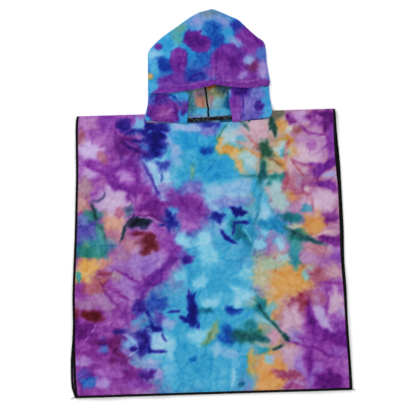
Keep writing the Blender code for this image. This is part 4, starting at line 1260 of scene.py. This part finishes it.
def dropped(path, *cloths, above=0.0):
    """The path laid on the topmost of the cloths, from straight above."""
    down = Vector((0.0, 0.0, -1.0))
    bpy.context.view_layer.update()
    laid = []
    for x, y in path:
        tops = []
        start = Vector(((x - MIDDLE_X) * METRES, (y - MIDDLE_Y) * METRES, ABOVE_ALL))
        for cloth in cloths:
            hit, place, normal, face = cloth.ray_cast(start, down)
            if hit:
                tops.append(place.z / METRES)
        if tops:
            laid.append((x, y, max(tops) + above))
    return laid


def smooth_path(points, step):
    """A path of even steps through a few points, on a smooth curve."""
    Place = namedtuple("Place", "x y")
    points = [Place(*point) for point in points]
    length = sum(math.hypot(b.x - a.x, b.y - a.y) for a, b in zip(points, points[1:]))
    count = max(2, round(length / step))
    return [tuple(between(points, (len(points) - 1) * index / count)) for index in range(count + 1)]


def ribbon(name, path, widths, thickness, finish):
    """The seam allowance under a bound seam: a flat strip along a path on the cloth."""
    path = np.array(path)
    along = np.gradient(path[:, :2], axis=0)
    along /= np.linalg.norm(along, axis=1, keepdims=True)
    across = np.column_stack([-along[:, 1], along[:, 0]])
    half = np.interp(np.linspace(0, 1, len(path)), np.linspace(0, 1, len(widths)), widths) / 2
    section = ((-1.0, 0.0), (-1.0, 0.7), (-0.5, 1.0), (0.5, 1.0), (1.0, 0.7), (1.0, 0.0))
    rows = []
    for side, up in section:
        plan = path[:, :2] + across * (side * half)[:, None]
        rows.append(np.column_stack([plan, path[:, 2] + up * thickness]))
    points = np.concatenate(rows)
    count = len(path)
    faces = []
    for row in range(len(section)):
        following = (row + 1) % len(section)
        for step in range(count - 1):
            near, far = row * count + step, following * count + step
            faces.append((near, near + 1, far + 1, far))
    faces.append(tuple(row * count for row in range(len(section))))
    faces.append(tuple(row * count + count - 1 for row in reversed(range(len(section)))))
    mesh = bpy.data.meshes.new(name)
    mesh.from_pydata(in_frame(points).tolist(), [], faces)
    mesh.materials.append(finish)
    mesh.update()
    made = bpy.data.objects.new(name, mesh)
    collection.objects.link(made)
    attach(made, "root")
    return made


def crossing_loop(name, width, finish):
    """One loop right across a bound seam, over its strip."""
    return thread_tube(name, [(-0.8, -0.5 * width, 0.1), (-0.5, -0.45 * width, 0.75), (0.0, 0.0, 1.0),
                              (0.5, 0.45 * width, 0.75), (0.8, 0.5 * width, 0.1)],
                       LOOP_THREAD, LOOP_SIDES, finish)


SEAM_STEP = 4.0                 # between the points of a seam's path
BACK_SEAM_RISE = 0.2            # of the seam's path over the cloth
BACK_SEAM_WIDTH = 3.8
NECK_SEAM_WIDTH = 8.0
back_seam_route = [(3.0, 676), (6.0, 658), (8.2, 635), (9.2, 624), (11.2, 612), (10.4, 604),
                   (11.6, 596)]
neck_seam_route = [(-34, 589.3), (-15, 590.0), (12, 590.8), (35, 591.8), (61, 592.8)]
back_seam = [(x, y, float(back_layer_height(y)) + CLOTH / 2 + BACK_SEAM_RISE)
             for x, y in smooth_path(back_seam_route, SEAM_STEP)]
neck_seam = dropped(smooth_path(neck_seam_route, SEAM_STEP), hood_left, hood_right)
ribbon("back_seam_strip", back_seam, [3.0, 3.2, 3.4], 0.8, black_thread)
ribbon("neck_seam_strip", neck_seam, [8.8, 8.2, 8.0, 8.0], 0.9, flecked_thread)
back_seam_loop = crossing_loop("seam_loop", BACK_SEAM_WIDTH, black_thread)
sewn("back_seam_overlock", [back_seam], back_seam_loop, 1.9, 0.08, 13, black_thread)
neck_seam_loop = crossing_loop("neck_loop", NECK_SEAM_WIDTH, flecked_thread)
sewn("neck_seam_overlock", [neck_seam], neck_seam_loop, 2.0, 0.08, 14, flecked_thread)

# ---- The face hem's topstitching ----------------------------------------------------------
# The turned hem round the face is held by one row of straight stitches in violet thread,
# across the brim of each panel and down each flap, 20 mm from the edge.
TOPSTITCH_PITCH = 3.0
TOPSTITCH_RISE = 0.05           # of the stitches' path over the cloth
violet_thread = thread_material("violet_topstitch_thread", (0.16, 0.05, 0.24, 1.0))
brim_stitching = smooth_path([(-106, 663), (-70, 665), (-30, 669), (10, 676), (27, 678)], SEAM_STEP)
brim_stitching += smooth_path([(29, 678), (60, 676), (100, 672), (138, 670)], SEAM_STEP)
left_stitching = smooth_path([(-55, 588), (-55, 612), (-54, 637)], SEAM_STEP)
right_stitching = smooth_path([(80, 588), (78.5, 612), (77, 640)], SEAM_STEP)
topstitch_paths = [dropped(path, hood_left, hood_right, above=TOPSTITCH_RISE)
                   for path in (brim_stitching, left_stitching, right_stitching)]
straight_stitch = thread_tube(
    "straight_stitch", [(-1.2, 0, -0.15), (-0.6, 0, 0.12), (0.6, 0, 0.12), (1.2, 0, -0.15)],
    0.26, 5, violet_thread)
sewn("face_hem_topstitch", topstitch_paths, straight_stitch, TOPSTITCH_PITCH, 0.05, 15, violet_thread)

# ---- Thread tails -------------------------------------------------------------------------
# Where the overlocker ran off the cloth, a short chain of black thread is left at each bottom
# corner of the back panel.
TAIL_HALF_WIDTH = 0.55
TAIL_SIDES = 6
tails = {"left": [(-294, 2, 0.9), (-297, 0.5, 0.9), (-300, -1.5, 0.6), (-302.5, -1.0, 0.5)],
         "right": [(302, 2, 0.9), (304.5, 0.5, 0.9), (306.5, 0.8, 0.6), (308.5, -0.5, 0.5)]}
for side, tail in tails.items():
    route = np.array(tail) - np.array([MIDDLE_X, MIDDLE_Y, 0.0])
    chain = thread_tube("thread_tail_" + side, route, TAIL_HALF_WIDTH, TAIL_SIDES, black_thread)
    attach(chain, "root")
